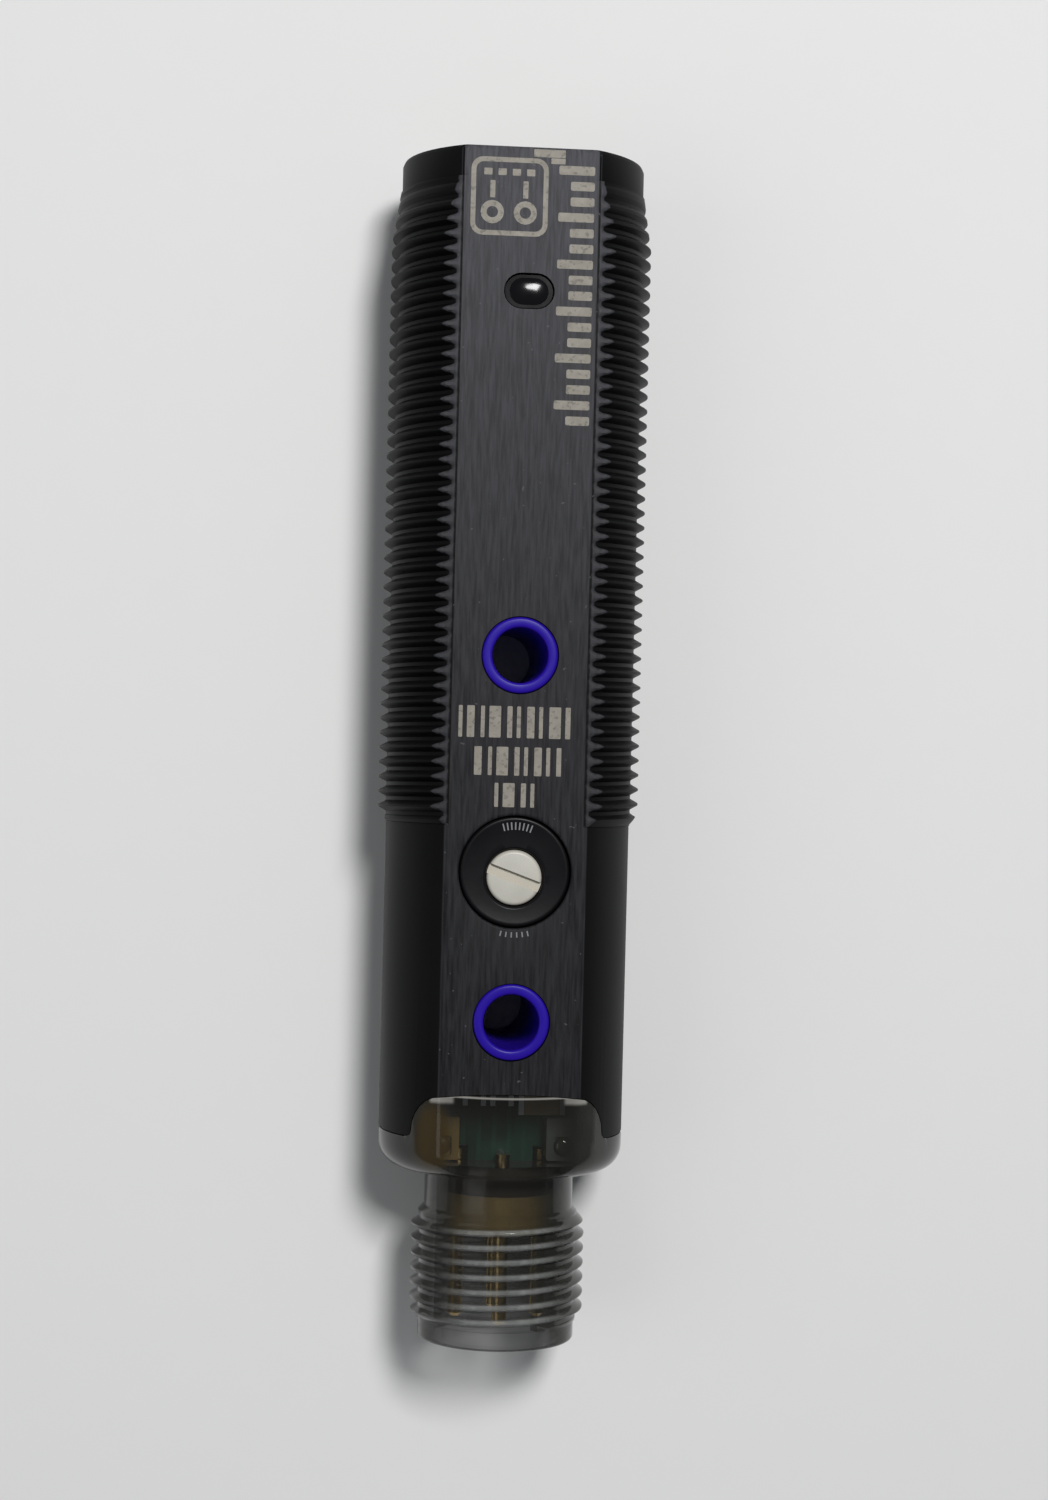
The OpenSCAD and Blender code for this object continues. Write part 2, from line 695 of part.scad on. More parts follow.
housing();
lens_plate();
optic_carrier();
polariser(-optic_x, [0.35, 0.3, 0.32]);  // emitter_polariser
polariser(optic_x, [0.3, 0.3, 0.35]);  // receiver_polariser
lamp(-optic_x, [0.8, 0.2, 0.2]);  // emitter_led
lamp_leads(-optic_x);  // emitter_leads
lamp(optic_x, [0.25, 0.25, 0.3]);  // photodiode
lamp_leads(optic_x);  // photodiode_leads
circuit_board();
receiver_shield();
signal_chip();
signal_chip_leads();
regulator();
regulator_leads();
output_transistors();
transistor_leads();
chip_resistors();
chip_capacitors();
chip_terminals();
tantalum_capacitor();
surge_diode();
trimmer_base();
trimmer_terminals();
trimmer_wiper();
trimmer_rotor();
trimmer_seal();
sleeve(sleeve_front_s);  // sleeve_front
sleeve(sleeve_rear_s);  // sleeve_rear
sleeve_seals(sleeve_front_s);  // sleeve_seals_front
sleeve_seals(sleeve_rear_s);  // sleeve_seals_rear
status_led(-status_led_x, [0.85, 0.55, 0.15]);  // status_led_yellow
status_led(status_led_x, [0.2, 0.5, 0.25]);  // status_led_green
tail_cap();
neck_resin();
contact_carrier();
contact_pin(1);  // contact_pin_1
contact_pin(2);  // contact_pin_2
contact_pin(3);  // contact_pin_3
contact_pin(4);  // contact_pin_4
contact_links();
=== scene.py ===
"""Looks of a tubular photoelectric sensor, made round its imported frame.

The barrel lies along Y with its lens at +Y and its trimmer flat facing +Z. Axial places are
distances behind the front face, and everything is in metres.
"""

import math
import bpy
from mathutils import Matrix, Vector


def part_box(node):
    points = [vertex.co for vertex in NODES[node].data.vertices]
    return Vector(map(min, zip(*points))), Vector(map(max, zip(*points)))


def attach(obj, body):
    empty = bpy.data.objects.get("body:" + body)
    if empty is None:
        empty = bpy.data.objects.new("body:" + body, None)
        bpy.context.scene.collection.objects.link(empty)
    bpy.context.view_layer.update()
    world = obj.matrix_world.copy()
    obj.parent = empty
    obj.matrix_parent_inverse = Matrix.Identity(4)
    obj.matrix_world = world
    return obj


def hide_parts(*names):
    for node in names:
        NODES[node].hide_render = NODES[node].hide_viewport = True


bl_info = {
    "name": "Tubular photoelectric sensor",
    "version": (1, 0, 0),
    "blender": (4, 5, 0),
    "location": "3D View > Sidebar > Sensor",
    "description": "Threaded barrel, trimmer, cross sleeves, clear tail and stage of a sensor",
    "category": "Object",
}

import bmesh
import bpy
import numpy as np
from bpy.props import FloatProperty, FloatVectorProperty, IntProperty, PointerProperty
from mathutils import Vector

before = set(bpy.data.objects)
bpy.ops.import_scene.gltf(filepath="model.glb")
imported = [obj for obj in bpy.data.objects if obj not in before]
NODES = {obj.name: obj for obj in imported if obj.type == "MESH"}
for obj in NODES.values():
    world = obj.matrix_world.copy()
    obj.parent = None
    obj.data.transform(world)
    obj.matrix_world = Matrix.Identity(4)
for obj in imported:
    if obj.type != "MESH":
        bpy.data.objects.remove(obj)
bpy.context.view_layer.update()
MM = 0.001

# ------------------------------------------------------------------ places from the frame


def low(node):
    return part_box(node)[0]


def high(node):
    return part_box(node)[1]


def middle(node):
    return (low(node) + high(node)) / 2


FRONT_Y = high("housing").y
TOP_Z = high("housing").z
AXIS_Z = TOP_Z / 2
FLAT = TOP_Z - AXIS_Z
HOUSING_L = FRONT_Y - low("housing").y
TOTAL_L = FRONT_Y - low("tail_cap").y
CREST_R = high("housing").x
PLAIN_R = high("tail_cap").x
BOSS_Y = FRONT_Y - 9.6 * MM  # middle of the snap boss
ROOT_SHADE_X = 4.57 * MM  # painted shade over a bumped groove along the thread root, at each side of the flat
OPENING_R = 3.75 * MM  # opening round the trimmer
WINDOW_BOW = 0.2 * MM  # of the rear window's front edge
WINDOW_INSET = 1.9 * MM  # from the plain barrel's side to the window's widest place
PLUG_CREST_R = 5.95 * MM
PILOT_L = 1.3 * MM  # plain ring at the plug's mouth
SOCKET_FLOOR = 0.6 * MM
SMOOTH_ANGLE = math.radians(38)


def behind(y):
    """Distance behind the front face of a place along Y."""
    return FRONT_Y - y


WINDOW_S = behind(middle("sleeve_rear").y) + 5 * MM


# ------------------------------------------------------------------ settings


class SensorSizes(bpy.types.PropertyGroup):
    """Sizes of the visible shapes that the frame's boxes don't give."""

    def length(mm, words, name):
        return FloatProperty(name=name, description=words, default=mm * MM, unit="LENGTH",
                             subtype="DISTANCE", precision=6)

    pitch: length(1.0, "Pitch of both threads", "Pitch")
    thread_depth: length(0.5413, "Depth of both threads", "Thread depth")
    front_ring: length(2.1, "Plain ring ahead of the barrel thread", "Front ring")
    lead_in: length(3.6, "Length over which the barrel thread rises to full height", "Lead-in")
    edge: length(0.12, "Softening of the moulded edges", "Edge")
    wall: length(1.2, "Wall of the barrel", "Wall")
    cap_corner: length(1.7, "Rounding of the tail's shoulder", "Tail corner")
    cap: length(2.6, "Length of the tail's full-width part", "Tail cap")
    neck: length(0.3, "Depth of the neck under the root of the plug thread", "Neck")
    neck_length: length(3.0, "Length of the neck ahead of the plug thread", "Neck length")
    ink: length(0.012, "Thickness of the printed marks", "Ink")
    turns: IntProperty(name="Turns", description="Full turns of the barrel thread", default=43)


class SensorColours(bpy.types.PropertyGroup):
    """Colours of the finishes."""

    def colour(rgb, words, name):
        return FloatVectorProperty(name=name, description=words, default=rgb, size=3,
                                   subtype="COLOR", min=0, max=1)

    barrel: colour((0.0085, 0.0085, 0.0095), "Moulded barrel", "Barrel")
    sleeve: colour((0.020, 0.006, 0.30), "Cross sleeves", "Sleeves")
    rotor: colour((0.50, 0.487, 0.43), "Trimmer rotor", "Rotor")
    rubber: colour((0.005, 0.005, 0.006), "Rubber and gloss black", "Rubber")
    ink: colour((0.31, 0.285, 0.24), "Printed marks", "Ink")
    clear: colour((0.030, 0.030, 0.026), "Clear tail", "Tail")
    amber: colour((0.30, 0.21, 0.075), "Contact carrier", "Carrier")
    lamp: colour((0.26, 0.17, 0.05), "Amber lamp", "Amber lamp")
    board: colour((0.008, 0.034, 0.022), "Solder mask", "Board")
    floor: colour((0.80, 0.80, 0.79), "Floor", "Floor")


class StageSettings(bpy.types.PropertyGroup):
    """Camera: its place, turn and lens."""

    camera: FloatVectorProperty(name="Camera", description="Place of the camera", size=3,
                                subtype="TRANSLATION", default=(-0.01546, 0.00013, 0.19232))
    turn: FloatVectorProperty(name="Turn", description="Turn of the camera from straight down",
                              size=3, subtype="AXISANGLE",
                              default=tuple(math.radians(a) for a in (-0.051, -5.083, 1.424)))
    lens: FloatProperty(name="Lens", description="Focal length", default=64.71,
                        subtype="DISTANCE_CAMERA")


# ------------------------------------------------------------------ surfaces


def smooth_min(a, b, r):
    """The smaller of a and b, blended by a parabola over a band of half width r."""
    h = np.clip(0.5 + 0.5 * (b - a) / r, 0, 1)
    return b + (a - b) * h - r * h * (1 - h) * 0.5


def angles(crease=None, count=112, fine=14, spread=math.radians(4.5)):
    """Angles of one full turn, evenly spaced, with more near the four edges of a pair of flats."""
    even = np.linspace(0, 2 * np.pi, count + 1)
    if crease is None:
        return even
    near = np.linspace(-spread, spread, fine)
    edges = [crease, np.pi - crease, np.pi + crease, 2 * np.pi - crease]
    extra = np.concatenate([edge + near for edge in edges])
    keep = np.all(np.abs(even[:, None] - extra[None, :]) > math.radians(0.7), axis=1)
    keep[0] = keep[-1] = True
    return np.unique(np.concatenate([even[keep], extra]))


def shade(mesh):
    """Smooth faces, with the edges left sharp where they turn by more than an angle."""
    mesh.shade_smooth()
    mesh.set_sharp_from_angle(angle=SMOOTH_ANGLE)


def link(name, mesh):
    """Puts a shaded mesh in the scene."""
    shade(mesh)
    obj = bpy.data.objects.new(name, mesh)
    bpy.context.scene.collection.objects.link(obj)
    return obj


def clean(mesh, merge=1e-7):
    """Merges what coincides, drops what has no area and turns the faces outwards."""
    bm = bmesh.new()
    bm.from_mesh(mesh)
    bmesh.ops.remove_doubles(bm, verts=bm.verts, dist=merge)
    bmesh.ops.dissolve_degenerate(bm, edges=bm.edges, dist=merge)
    bmesh.ops.recalc_face_normals(bm, faces=bm.faces)
    bm.to_mesh(mesh)
    bm.free()
    return mesh


def grid_mesh(name, points):
    """Mesh of a grid of points [column, row, xyz]. The last row joins the first, and columns
    close where their first and last ones coincide."""
    columns, count = points.shape[:2]
    c, r = (a.ravel() for a in np.meshgrid(np.arange(columns - 1), np.arange(count),
                                           indexing="ij"))
    here, beyond, after = c * count, (c + 1) * count, (r + 1) % count
    faces = np.stack([here + r, here + after, beyond + after, beyond + r], axis=1)
    mesh = bpy.data.meshes.new(name)
    mesh.from_pydata(points.reshape(-1, 3), [], faces)
    return clean(mesh)


def along_axis(theta, radius, s, flat, soft=0.0):
    """Points round the barrel's axis: radius and distance behind the front face, each a number
    for every angle and row. Radii are cut at the height of the flat above and below the axis,
    and the edge of the cut is softened over a band."""
    limit = flat / np.maximum(np.abs(np.sin(theta)), 1e-3)[:, None]
    radius = smooth_min(radius, limit, soft) if soft else np.minimum(radius, limit)
    x = radius * np.cos(theta)[:, None]
    z = AXIS_Z + radius * np.sin(theta)[:, None]
    return np.stack([x, np.broadcast_to(FRONT_Y - s, x.shape), z], axis=2)


def upright(name, profile, x, y):
    """Turned piece about a vertical line through x, y, from (radius, z) points."""
    theta = angles(count=72)
    r, z = np.array(profile, float).T
    points = np.stack([x + np.outer(np.cos(theta), r), y + np.outer(np.sin(theta), r),
                       np.broadcast_to(z, (len(theta), len(z)))], axis=2)
    return link(name, grid_mesh(name, points))


def prism(name, outline, z0, z1):
    """Upright prism of an outline of (x, y) points."""
    flat = np.array(outline, float)
    levels = [np.column_stack([flat, np.full(len(flat), z)]) for z in (z0, z1)]
    count = len(flat)
    sides = [(i, (i + 1) % count, count + (i + 1) % count, count + i) for i in range(count)]
    mesh = bpy.data.meshes.new(name)
    mesh.from_pydata(np.concatenate(levels), [],
                     [tuple(range(count))[::-1], tuple(range(count, 2 * count)), *sides])
    return link(name, clean(mesh))


def rounding(cx, cy, r, a0, a1, count=5):
    """Points of an arc between two angles, in degrees."""
    a = np.radians(np.linspace(a0, a1, count))
    return [(cx + r * math.cos(t), cy + r * math.sin(t)) for t in a]


def stadium(x, y, half_w, half_l, count=12):
    """Outline with round ends, long in X."""
    reach = half_w - half_l
    return (rounding(x + reach, y, half_l, -90, 90, count)
            + rounding(x - reach, y, half_l, 90, 270, count))


def rounded_box(x0, x1, y0, y1, r, count=5):
    """Outline of a rectangle with rounded corners."""
    return (rounding(x1 - r, y0 + r, r, -90, 0, count) + rounding(x1 - r, y1 - r, r, 0, 90, count)
            + rounding(x0 + r, y1 - r, r, 90, 180, count)
            + rounding(x0 + r, y0 + r, r, 180, 270, count))


# One pitch of the thread as (share of the pitch, share of the depth), from root to root
THREAD = np.array([(0.0, 0.0), (0.12, 0.02), (0.17, 0.12), (0.39, 0.86), (0.44, 0.98), (0.5, 1.0),
                   (0.56, 0.98), (0.61, 0.86), (0.83, 0.12), (0.88, 0.02)])


def thread(theta, root, depth, s0, s1, pitch, rise, fall):
    """Rows of a right-hand thread between s0 and s1: each row follows the helix, and is held at
    the ends of the threaded length, where the ridge has sunk to the root over rise and fall."""
    first = np.arange(-1, math.ceil((s1 - s0) / pitch) + 1)
    turn = (first[:, None] + THREAD[None, :, 0]).ravel()
    height = np.tile(THREAD[:, 1], len(first))
    s = s0 + pitch * (turn[None, :] + (theta / (2 * np.pi))[:, None])
    share = np.clip((s - s0) / rise, 0, 1) * np.clip((s1 - s) / fall, 0, 1)
    return root + depth * np.minimum(height[None, :], share), np.clip(s, s0, s1)


def rows(theta, points):
    """Rings as (radius, s) points, repeated for every angle."""
    r, s = np.array(points, float).T
    shape = (len(theta), len(r))
    return np.broadcast_to(r, shape), np.broadcast_to(s, shape)


def carve(obj, tool, operation="DIFFERENCE"):
    """Cuts a piece with a tool, joins them or keeps what they share, and removes the tool."""
    cut = obj.modifiers.new("carve", "BOOLEAN")
    cut.operation = operation
    cut.object = tool
    cut.solver = "MANIFOLD"
    depsgraph = bpy.context.evaluated_depsgraph_get()
    mesh = bpy.data.meshes.new_from_object(obj.evaluated_get(depsgraph))
    obj.modifiers.clear()
    obj.data = clean(mesh, 2e-7)
    shade(obj.data)
    bpy.data.objects.remove(tool)
    return obj


# ------------------------------------------------------------------ finishes


class Wire:
    """A value carried by a node's output socket, with the usual operators."""

    def __init__(self, paint, socket):
        self.paint = paint
        self.socket = socket

    def math(self, operation, *others):
        return self.paint.node("ShaderNodeMath", {"operation": operation}, self, *others)

    def __add__(self, other):
        return self.math("ADD", other)

    def __sub__(self, other):
        return self.math("SUBTRACT", other)

    def __rsub__(self, other):
        return (self * -1) + other

    def __mul__(self, other):
        return self.math("MULTIPLY", other)

    def __truediv__(self, other):
        return self.math("DIVIDE", other)

    def __pow__(self, other):
        return self.math("POWER", other)

    __radd__ = __add__
    __rmul__ = __mul__

    def size(self):
        return self.math("ABSOLUTE")

    def above(self, edge, soft):
        """Rises from 0 to 1 over a soft band round an edge."""
        return self.paint.node("ShaderNodeMapRange", {"interpolation_type": "SMOOTHSTEP"},
                               self, edge - soft, edge + soft, 0.0, 1.0)

    def below(self, edge, soft):
        return 1 - self.above(edge, soft)


class Paint:
    """A material with a Principled BSDF, and the nodes that feed it."""

    def __init__(self, name, **values):
        self.material = bpy.data.materials.new(name)
        self.material.use_nodes = True
        self.tree = self.material.node_tree
        self.shader = self.tree.nodes["Principled BSDF"]
        for socket, value in values.items():
            self.set(socket.replace("_", " ").title().replace("Ior", "IOR"), value)

    def set(self, socket, value):
        target = self.shader.inputs[socket]
        if isinstance(value, Wire):
            self.tree.links.new(value.socket, target)
        elif target.type == "RGBA" and len(value) == 3:
            target.default_value = (*value, 1)
        else:
            target.default_value = value

    def node(self, kind, settings, *inputs, out=0):
        """A node of a kind, with its settings made first and then its sockets, in order or by
        name. Returns the output socket with the given name or place."""
        made = self.tree.nodes.new(kind)
        for key, value in settings.items():
            if key == "stops":
                self.stops(made.color_ramp, value)
            else:
                setattr(made, key, value)
        named = inputs[0] if inputs and isinstance(inputs[0], dict) else dict(enumerate(inputs))
        for key, value in named.items():
            target = made.inputs[key]
            if isinstance(value, Wire):
                self.tree.links.new(value.socket, target)
            elif target.type == "RGBA" and len(value) == 3:
                target.default_value = (*value, 1)
            else:
                target.default_value = value
        return Wire(self, made.outputs[out])

    @staticmethod
    def stops(ramp, stops):
        while len(ramp.elements) < len(stops):
            ramp.elements.new(1)
        for element, (place, shade) in zip(ramp.elements, stops):
            element.position = place
            element.color = (shade, shade, shade, 1)

    def place(self, scale):
        """Object coordinates, stretched."""
        at = self.node("ShaderNodeTexCoord", {}, out="Object")
        return self.node("ShaderNodeMapping", {}, {"Vector": at, "Scale": scale})

    def parts(self):
        """Object coordinates as three numbers."""
        at = self.node("ShaderNodeTexCoord", {}, out="Object")
        split = self.node("ShaderNodeSeparateXYZ", {}, at)
        return [Wire(self, s) for s in split.socket.node.outputs]

    def noise(self, scale, stretch=(1, 1, 1), detail=3.0, rough=0.55):
        return self.node("ShaderNodeTexNoise", {},
                         {"Vector": self.place(stretch), "Scale": scale, "Detail": detail,
                          "Roughness": rough})

    def ramp(self, value, *stops):
        return self.node("ShaderNodeValToRGB", {"stops": stops}, value)

    def mix(self, first, second, share):
        made = self.tree.nodes.new("ShaderNodeMix")
        made.data_type = "RGBA"
        sockets = {"Factor": made.inputs[0], "A": made.inputs[6], "B": made.inputs[7]}
        for name, value in (("Factor", share), ("A", first), ("B", second)):
            if isinstance(value, Wire):
                self.tree.links.new(value.socket, sockets[name])
            else:
                sockets[name].default_value = value if name == "Factor" else (*value, 1)
        return Wire(self, made.outputs[2])

    def bump(self, height, strength, distance):
        made = self.node("ShaderNodeBump", {},
                         {"Height": height, "Strength": strength, "Distance": distance})
        self.set("Normal", made)

    def on(self, *objects):
        for obj in objects:
            obj.data.materials.clear()
            obj.data.materials.append(self.material)


def colours():
    return bpy.context.scene.sensor_colours


def sizes():
    return bpy.context.scene.sensor_sizes


def tint(rgb, factor):
    return tuple(min(1.0, c * factor) for c in rgb)


def barrel_finish():
    """Black moulded plastic. The flats have a grain drawn along them, and a painted sheen pales
    them as the square of the nearness to the front; the round sides are darker, with a cloud in
    them.
    On the threaded stretch a painted shade darkens the thread root along each side of the flat,
    over a bumped groove, and the teeth beyond it are paler, as if rubbed. A few pale dust specks
    lie on the flats."""
    rgb = colours().barrel
    size = sizes()
    p = Paint("barrel_plastic", specular_ior_level=0.1)
    x, y, z = p.parts()
    height = (z - AXIS_Z).size()
    flat = height.above(FLAT - 0.12 * MM, 0.05 * MM)
    grain = p.noise(1.0, (5200, 420, 5200), 4.0, 0.6)
    cloud = p.noise(90, detail=4.0)
    specks = p.noise(2600, detail=1.0).above(0.77, 0.02)
    drawn = p.ramp(grain, (0.35, 0.0), (0.65, 1.0))
    front = (y - FRONT_Y + HOUSING_L) / HOUSING_L
    face = p.mix(tint(rgb, 0.4), tint(rgb, 3.0), drawn * 0.65 + cloud * 0.35)
    # Painted sheen: the flats pale towards the front, as the square of the nearness to it.
    face = p.mix(face, tint(rgb, 13.0), (front ** 2) * (0.35 + drawn * 0.4))
    skin = p.mix(tint(rgb, 0.25), tint(rgb, 0.6), cloud)
    colour = p.mix(skin, face, flat)
    across = x.size()
    line = across.above(ROOT_SHADE_X - 0.07 * MM, 0.04 * MM)
    line = line * across.below(ROOT_SHADE_X + 0.07 * MM, 0.05 * MM)
    thread_end = FRONT_Y - size.front_ring - size.turns * size.pitch
    root_groove_shade = line * flat * y.above(thread_end, 0.1 * MM)
    teeth = across.above(ROOT_SHADE_X + 0.13 * MM, 0.08 * MM) * flat
    colour = p.mix(colour, tint(rgb, 6.0), teeth * (0.3 + grain * 0.5))
    # Painted shade along the thread root at each side of the flat, on the threaded stretch.
    colour = p.mix(colour, tint(rgb, 0.1), root_groove_shade)
    colour = p.mix(colour, tint(rgb, 14.0), specks * flat * 0.5)
    p.set("Base Color", colour)
    p.set("Roughness", 0.4 + cloud * 0.12 + flat * drawn * 0.12)
    p.bump(grain * flat + p.noise(900, detail=2.0) * 0.25 - root_groove_shade * 2.0, 0.4, 0.02 * MM)
    return p


def satin_finish(name, rgb, rough=0.4, spread=0.25, grain=1500, deep=0.01, shine=0.4):
    """Moulded plastic or rubber: a slight cloud in its colour and gloss over a fine grain."""
    p = Paint(name, specular_ior_level=shine)
    cloud = p.noise(220, detail=4.0)
    fine = p.noise(grain, detail=2.0)
    p.set("Base Color", p.mix(tint(rgb, 1 - spread), tint(rgb, 1 + spread), cloud))
    p.set("Roughness", rough - 0.08 + cloud * 0.16)
    p.bump(fine, 0.35, deep * MM)
    return p


def metal_finish(name, rgb, rough):
    """Plated metal with faint drawing marks along its length."""
    p = Paint(name, metallic=1.0)
    marks = p.noise(1.0, (2500, 250, 2500), 3.0)
    p.set("Base Color", p.mix(tint(rgb, 0.8), tint(rgb, 1.1), marks))
    p.set("Roughness", rough + marks * 0.15)
    p.bump(marks, 0.2, 0.005 * MM)
    return p


def clear_finish():
    """Clear plastic with a smoky tint: see-through in the middle, denser with the distance from
    its middle line and where it turns away. Painted shade makes it denser and darker in the
    corners of its shoulder, and denser on the right of its plug. Painted highlights make it paler
    on the crests of its thread, on a line whose place is a square law of x near the front of its
    window block, and on a small lug at each end of that line. Beside the left lamp lies an
    elliptical amber patch, a painted image of that lamp as seen through the curved side."""
    p = Paint("clear_tail", ior=1.58, specular_ior_level=0.35)
    rgb = colours().clear
    housing_end, mouth_end = FRONT_Y - HOUSING_L, FRONT_Y - TOTAL_L
    x, y, z = p.parts()
    across = x.size()
    radius = ((x ** 2) + ((z - AXIS_Z) ** 2)) ** 0.5
    haze = p.noise(260, detail=3.0)
    streaks = p.noise(1.0, (1400, 120, 1400), 3.0)
    facing = p.node("ShaderNodeLayerWeight", {}, {"Blend": 0.4}, out="Facing")
    cap = y.above(housing_end - sizes().cap, 0.3 * MM)
    plug = y.below(housing_end - 4.5 * MM, 0.2 * MM)
    mouth = y.below(mouth_end + 1.2 * MM, 0.2 * MM)
    # Painted highlight on the crests of the plug thread, near its middle line.
    crest_highlight = radius.above(5.72 * MM, 0.12 * MM) * plug * across.below(3.4 * MM, 1.6 * MM)
    side = across.above(4.5 * MM, 1.5 * MM) * (1 - mouth * 0.5)
    # Painted shade: denser and darker in the corners of the shoulder, and denser on the right of
    # the plug.
    corner = across.above(6.4 * MM, 0.8 * MM) * cap
    right = x.above(3 * MM, 1.5 * MM) * (1 - cap)
    # Painted image of the amber lamp, as seen through the curved side.
    painted_lamp_image = ((x + 5.0 * MM) / (1.2 * MM)) ** 2 + ((y - housing_end) / (2.4 * MM)) ** 2
    painted_lamp_image = painted_lamp_image.below(1.0, 0.6)
    # Painted highlight: a pale line near the front edge of the window block, with a lug at each
    # end.
    edge_y = FRONT_Y - WINDOW_S - 0.08 * MM + ((x / (4.5 * MM)) ** 2) * WINDOW_BOW
    line = (y - edge_y).size().below(0.07 * MM, 0.05 * MM)
    lug_y = FRONT_Y - WINDOW_S
    lug_highlight = across.above(3.7 * MM, 0.15 * MM) * (y - lug_y).size().below(0.4 * MM, 0.15 * MM)
    line = (line + lug_highlight * 0.7).math("MINIMUM", 1.0) * z.above(TOP_Z - 0.5 * MM, 0.1 * MM)
    body = p.mix(tint(rgb, 0.6), tint(rgb, 1.4), haze)
    body = p.mix(body, (0.30, 0.31, 0.30), crest_highlight * (0.45 + streaks * 0.7))
    body = p.mix(body, tint(colours().lamp, 0.2), painted_lamp_image * 0.8)
    body = p.mix(body, tint(rgb, 0.25), corner)
    p.set("Base Color", p.mix(body, (0.5, 0.48, 0.44), line * 0.8))
    alpha = 0.2 + haze * 0.08 + side * 0.45 + facing * 0.6 + crest_highlight * (0.15 + streaks * 0.3)
    p.set("Alpha", alpha + line * 0.4 + painted_lamp_image * 0.25 + corner * 0.6 + right * 0.25)
    p.set("Roughness", 0.05 + haze * 0.08)
    return p


# ------------------------------------------------------------------ pieces


def finish_piece(obj, paint, body, slot, *nodes):
    """Paints a piece, puts it on its body and lets it stand for CAD nodes."""
    paint.on(obj)
    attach(obj, body)
    if nodes:
        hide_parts(*nodes)


def window_outline(grow=0.0):
    """Plan outline of the rear window: a bowed front edge, rounded sides and small foot fillets."""
    half = math.sqrt(PLAIN_R ** 2 - FLAT ** 2) + 0.1 * MM + grow
    spread = PLAIN_R - WINDOW_INSET - (half - grow)
    front = WINDOW_S - grow
    foot_r = 0.4 * MM
    foot = HOUSING_L - foot_r
    t = np.linspace(-1, 1, 13)
    bow = np.column_stack([half * t, front - WINDOW_BOW * (1 - t ** 2)])
    a = np.radians(np.linspace(15, 90, 6))
    side = np.column_stack([half + spread * np.sin(a), front + (foot - front) * (1 - np.cos(a))])
    fillet = np.array(rounding(half + spread + foot_r, foot, foot_r, 180, 90))
    end = np.array([[half + spread + foot_r, HOUSING_L + 1 * MM]])
    right = np.concatenate([side, fillet, end])
    left = right[::-1] * (-1, 1)
    outline = np.concatenate([bow, right, left])
    outline[:, 1] = FRONT_Y - outline[:, 1]
    return outline


def flared_hole(name, node, radius, lip):
    """Cutter for an upright hole whose mouth is rounded off at the flat."""
    place = middle(node)
    lips = [(radius + lip - lip * math.cos(a), TOP_Z - lip + lip * math.sin(a))
            for a in np.radians(np.linspace(0, 90, 5))]
    profile = [(0, AXIS_Z), (radius, AXIS_Z), *lips, (radius + lip, TOP_Z + 1 * MM),
               (0, TOP_Z + 1 * MM)]
    return upright(name, profile, place.x, place.y)


class SENSOR_OT_barrel(bpy.types.Operator):
    """Threaded barrel with its two flats, its openings and the lens pocket"""

    bl_idname = "sensor.barrel"
    bl_label = "Barrel"

    def execute(self, context):
        size = sizes()
        root = CREST_R - size.thread_depth
        soft = size.edge
        front_r = PLAIN_R - 0.06 * MM
        thread_end = size.front_ring + size.turns * size.pitch
        theta = angles(math.asin(FLAT / (CREST_R + root) * 2))
        bore_r = PLAIN_R - size.wall
        window_floor = AXIS_Z + bore_r * 0.42
        lens_r = high("lens_plate").x + 0.05 * MM
        lens_back = behind(high("optic_carrier").y)
        front = rows(theta, [(front_r - soft - 0.18 * MM, 0), (front_r - soft, 0.04 * MM),
                             (front_r, 0.3 * MM), (front_r, size.front_ring - 0.1 * MM),
                             (front_r - 0.03 * MM, size.front_ring), (root, size.front_ring)])
        ridge = thread(theta, root, size.thread_depth, size.front_ring, thread_end, size.pitch,
                       size.lead_in, 0.8 * MM)
        rear = rows(theta, [(root, thread_end), (PLAIN_R - 0.03 * MM, thread_end),
                            (PLAIN_R, thread_end + 0.08 * MM), (PLAIN_R, HOUSING_L - 0.1 * MM),
                            (PLAIN_R - 0.08 * MM, HOUSING_L)])
        inside = rows(theta, [(bore_r, HOUSING_L), (bore_r, lens_back), (lens_r, lens_back),
                              (lens_r, 0.1 * MM), (lens_r + 0.1 * MM, 0)])
        outer = [np.concatenate(part, axis=1) for part in zip(front, ridge, rear)]
        flats = np.full(outer[0].shape[1], FLAT)
        flats[[0, 1, -1]] -= np.array([0.25, 0.1, 0.08]) * MM
        shell = along_axis(theta, *outer, flats, soft)
        bore_flat = FLAT - size.wall
        lens_flat = high("lens_plate").z - AXIS_Z + 0.05 * MM
        inner_flats = np.array([bore_flat, bore_flat, lens_flat, lens_flat, lens_flat + 0.1 * MM])
        hollow = along_axis(theta, *inside, inner_flats)
        barrel = link("barrel", grid_mesh("barrel", np.concatenate([shell, hollow], axis=1)))
        for node in ("sleeve_front", "sleeve_rear"):
            at = middle(node)
            r = (high(node).x - low(node).x) / 2 + 0.05 * MM
            through = [(0, -1 * MM), (r, -1 * MM), (r, TOP_Z + 1 * MM), (0, TOP_Z + 1 * MM)]
            carve(barrel, upright("hole", through, at.x, at.y))
        carve(barrel, flared_hole("hole", "trimmer_seal", OPENING_R, 0.16 * MM))
        boss = stadium(0, BOSS_Y, 1.7 * MM, 1.2 * MM)
        carve(barrel, prism("hole", boss, AXIS_Z + 4 * MM, TOP_Z + 1 * MM))
        carve(barrel, prism("hole", window_outline(), window_floor, TOP_Z + 2 * MM))
        finish_piece(barrel, barrel_finish(), "sensor", "black_plastic", "housing")
        return {"FINISHED"}


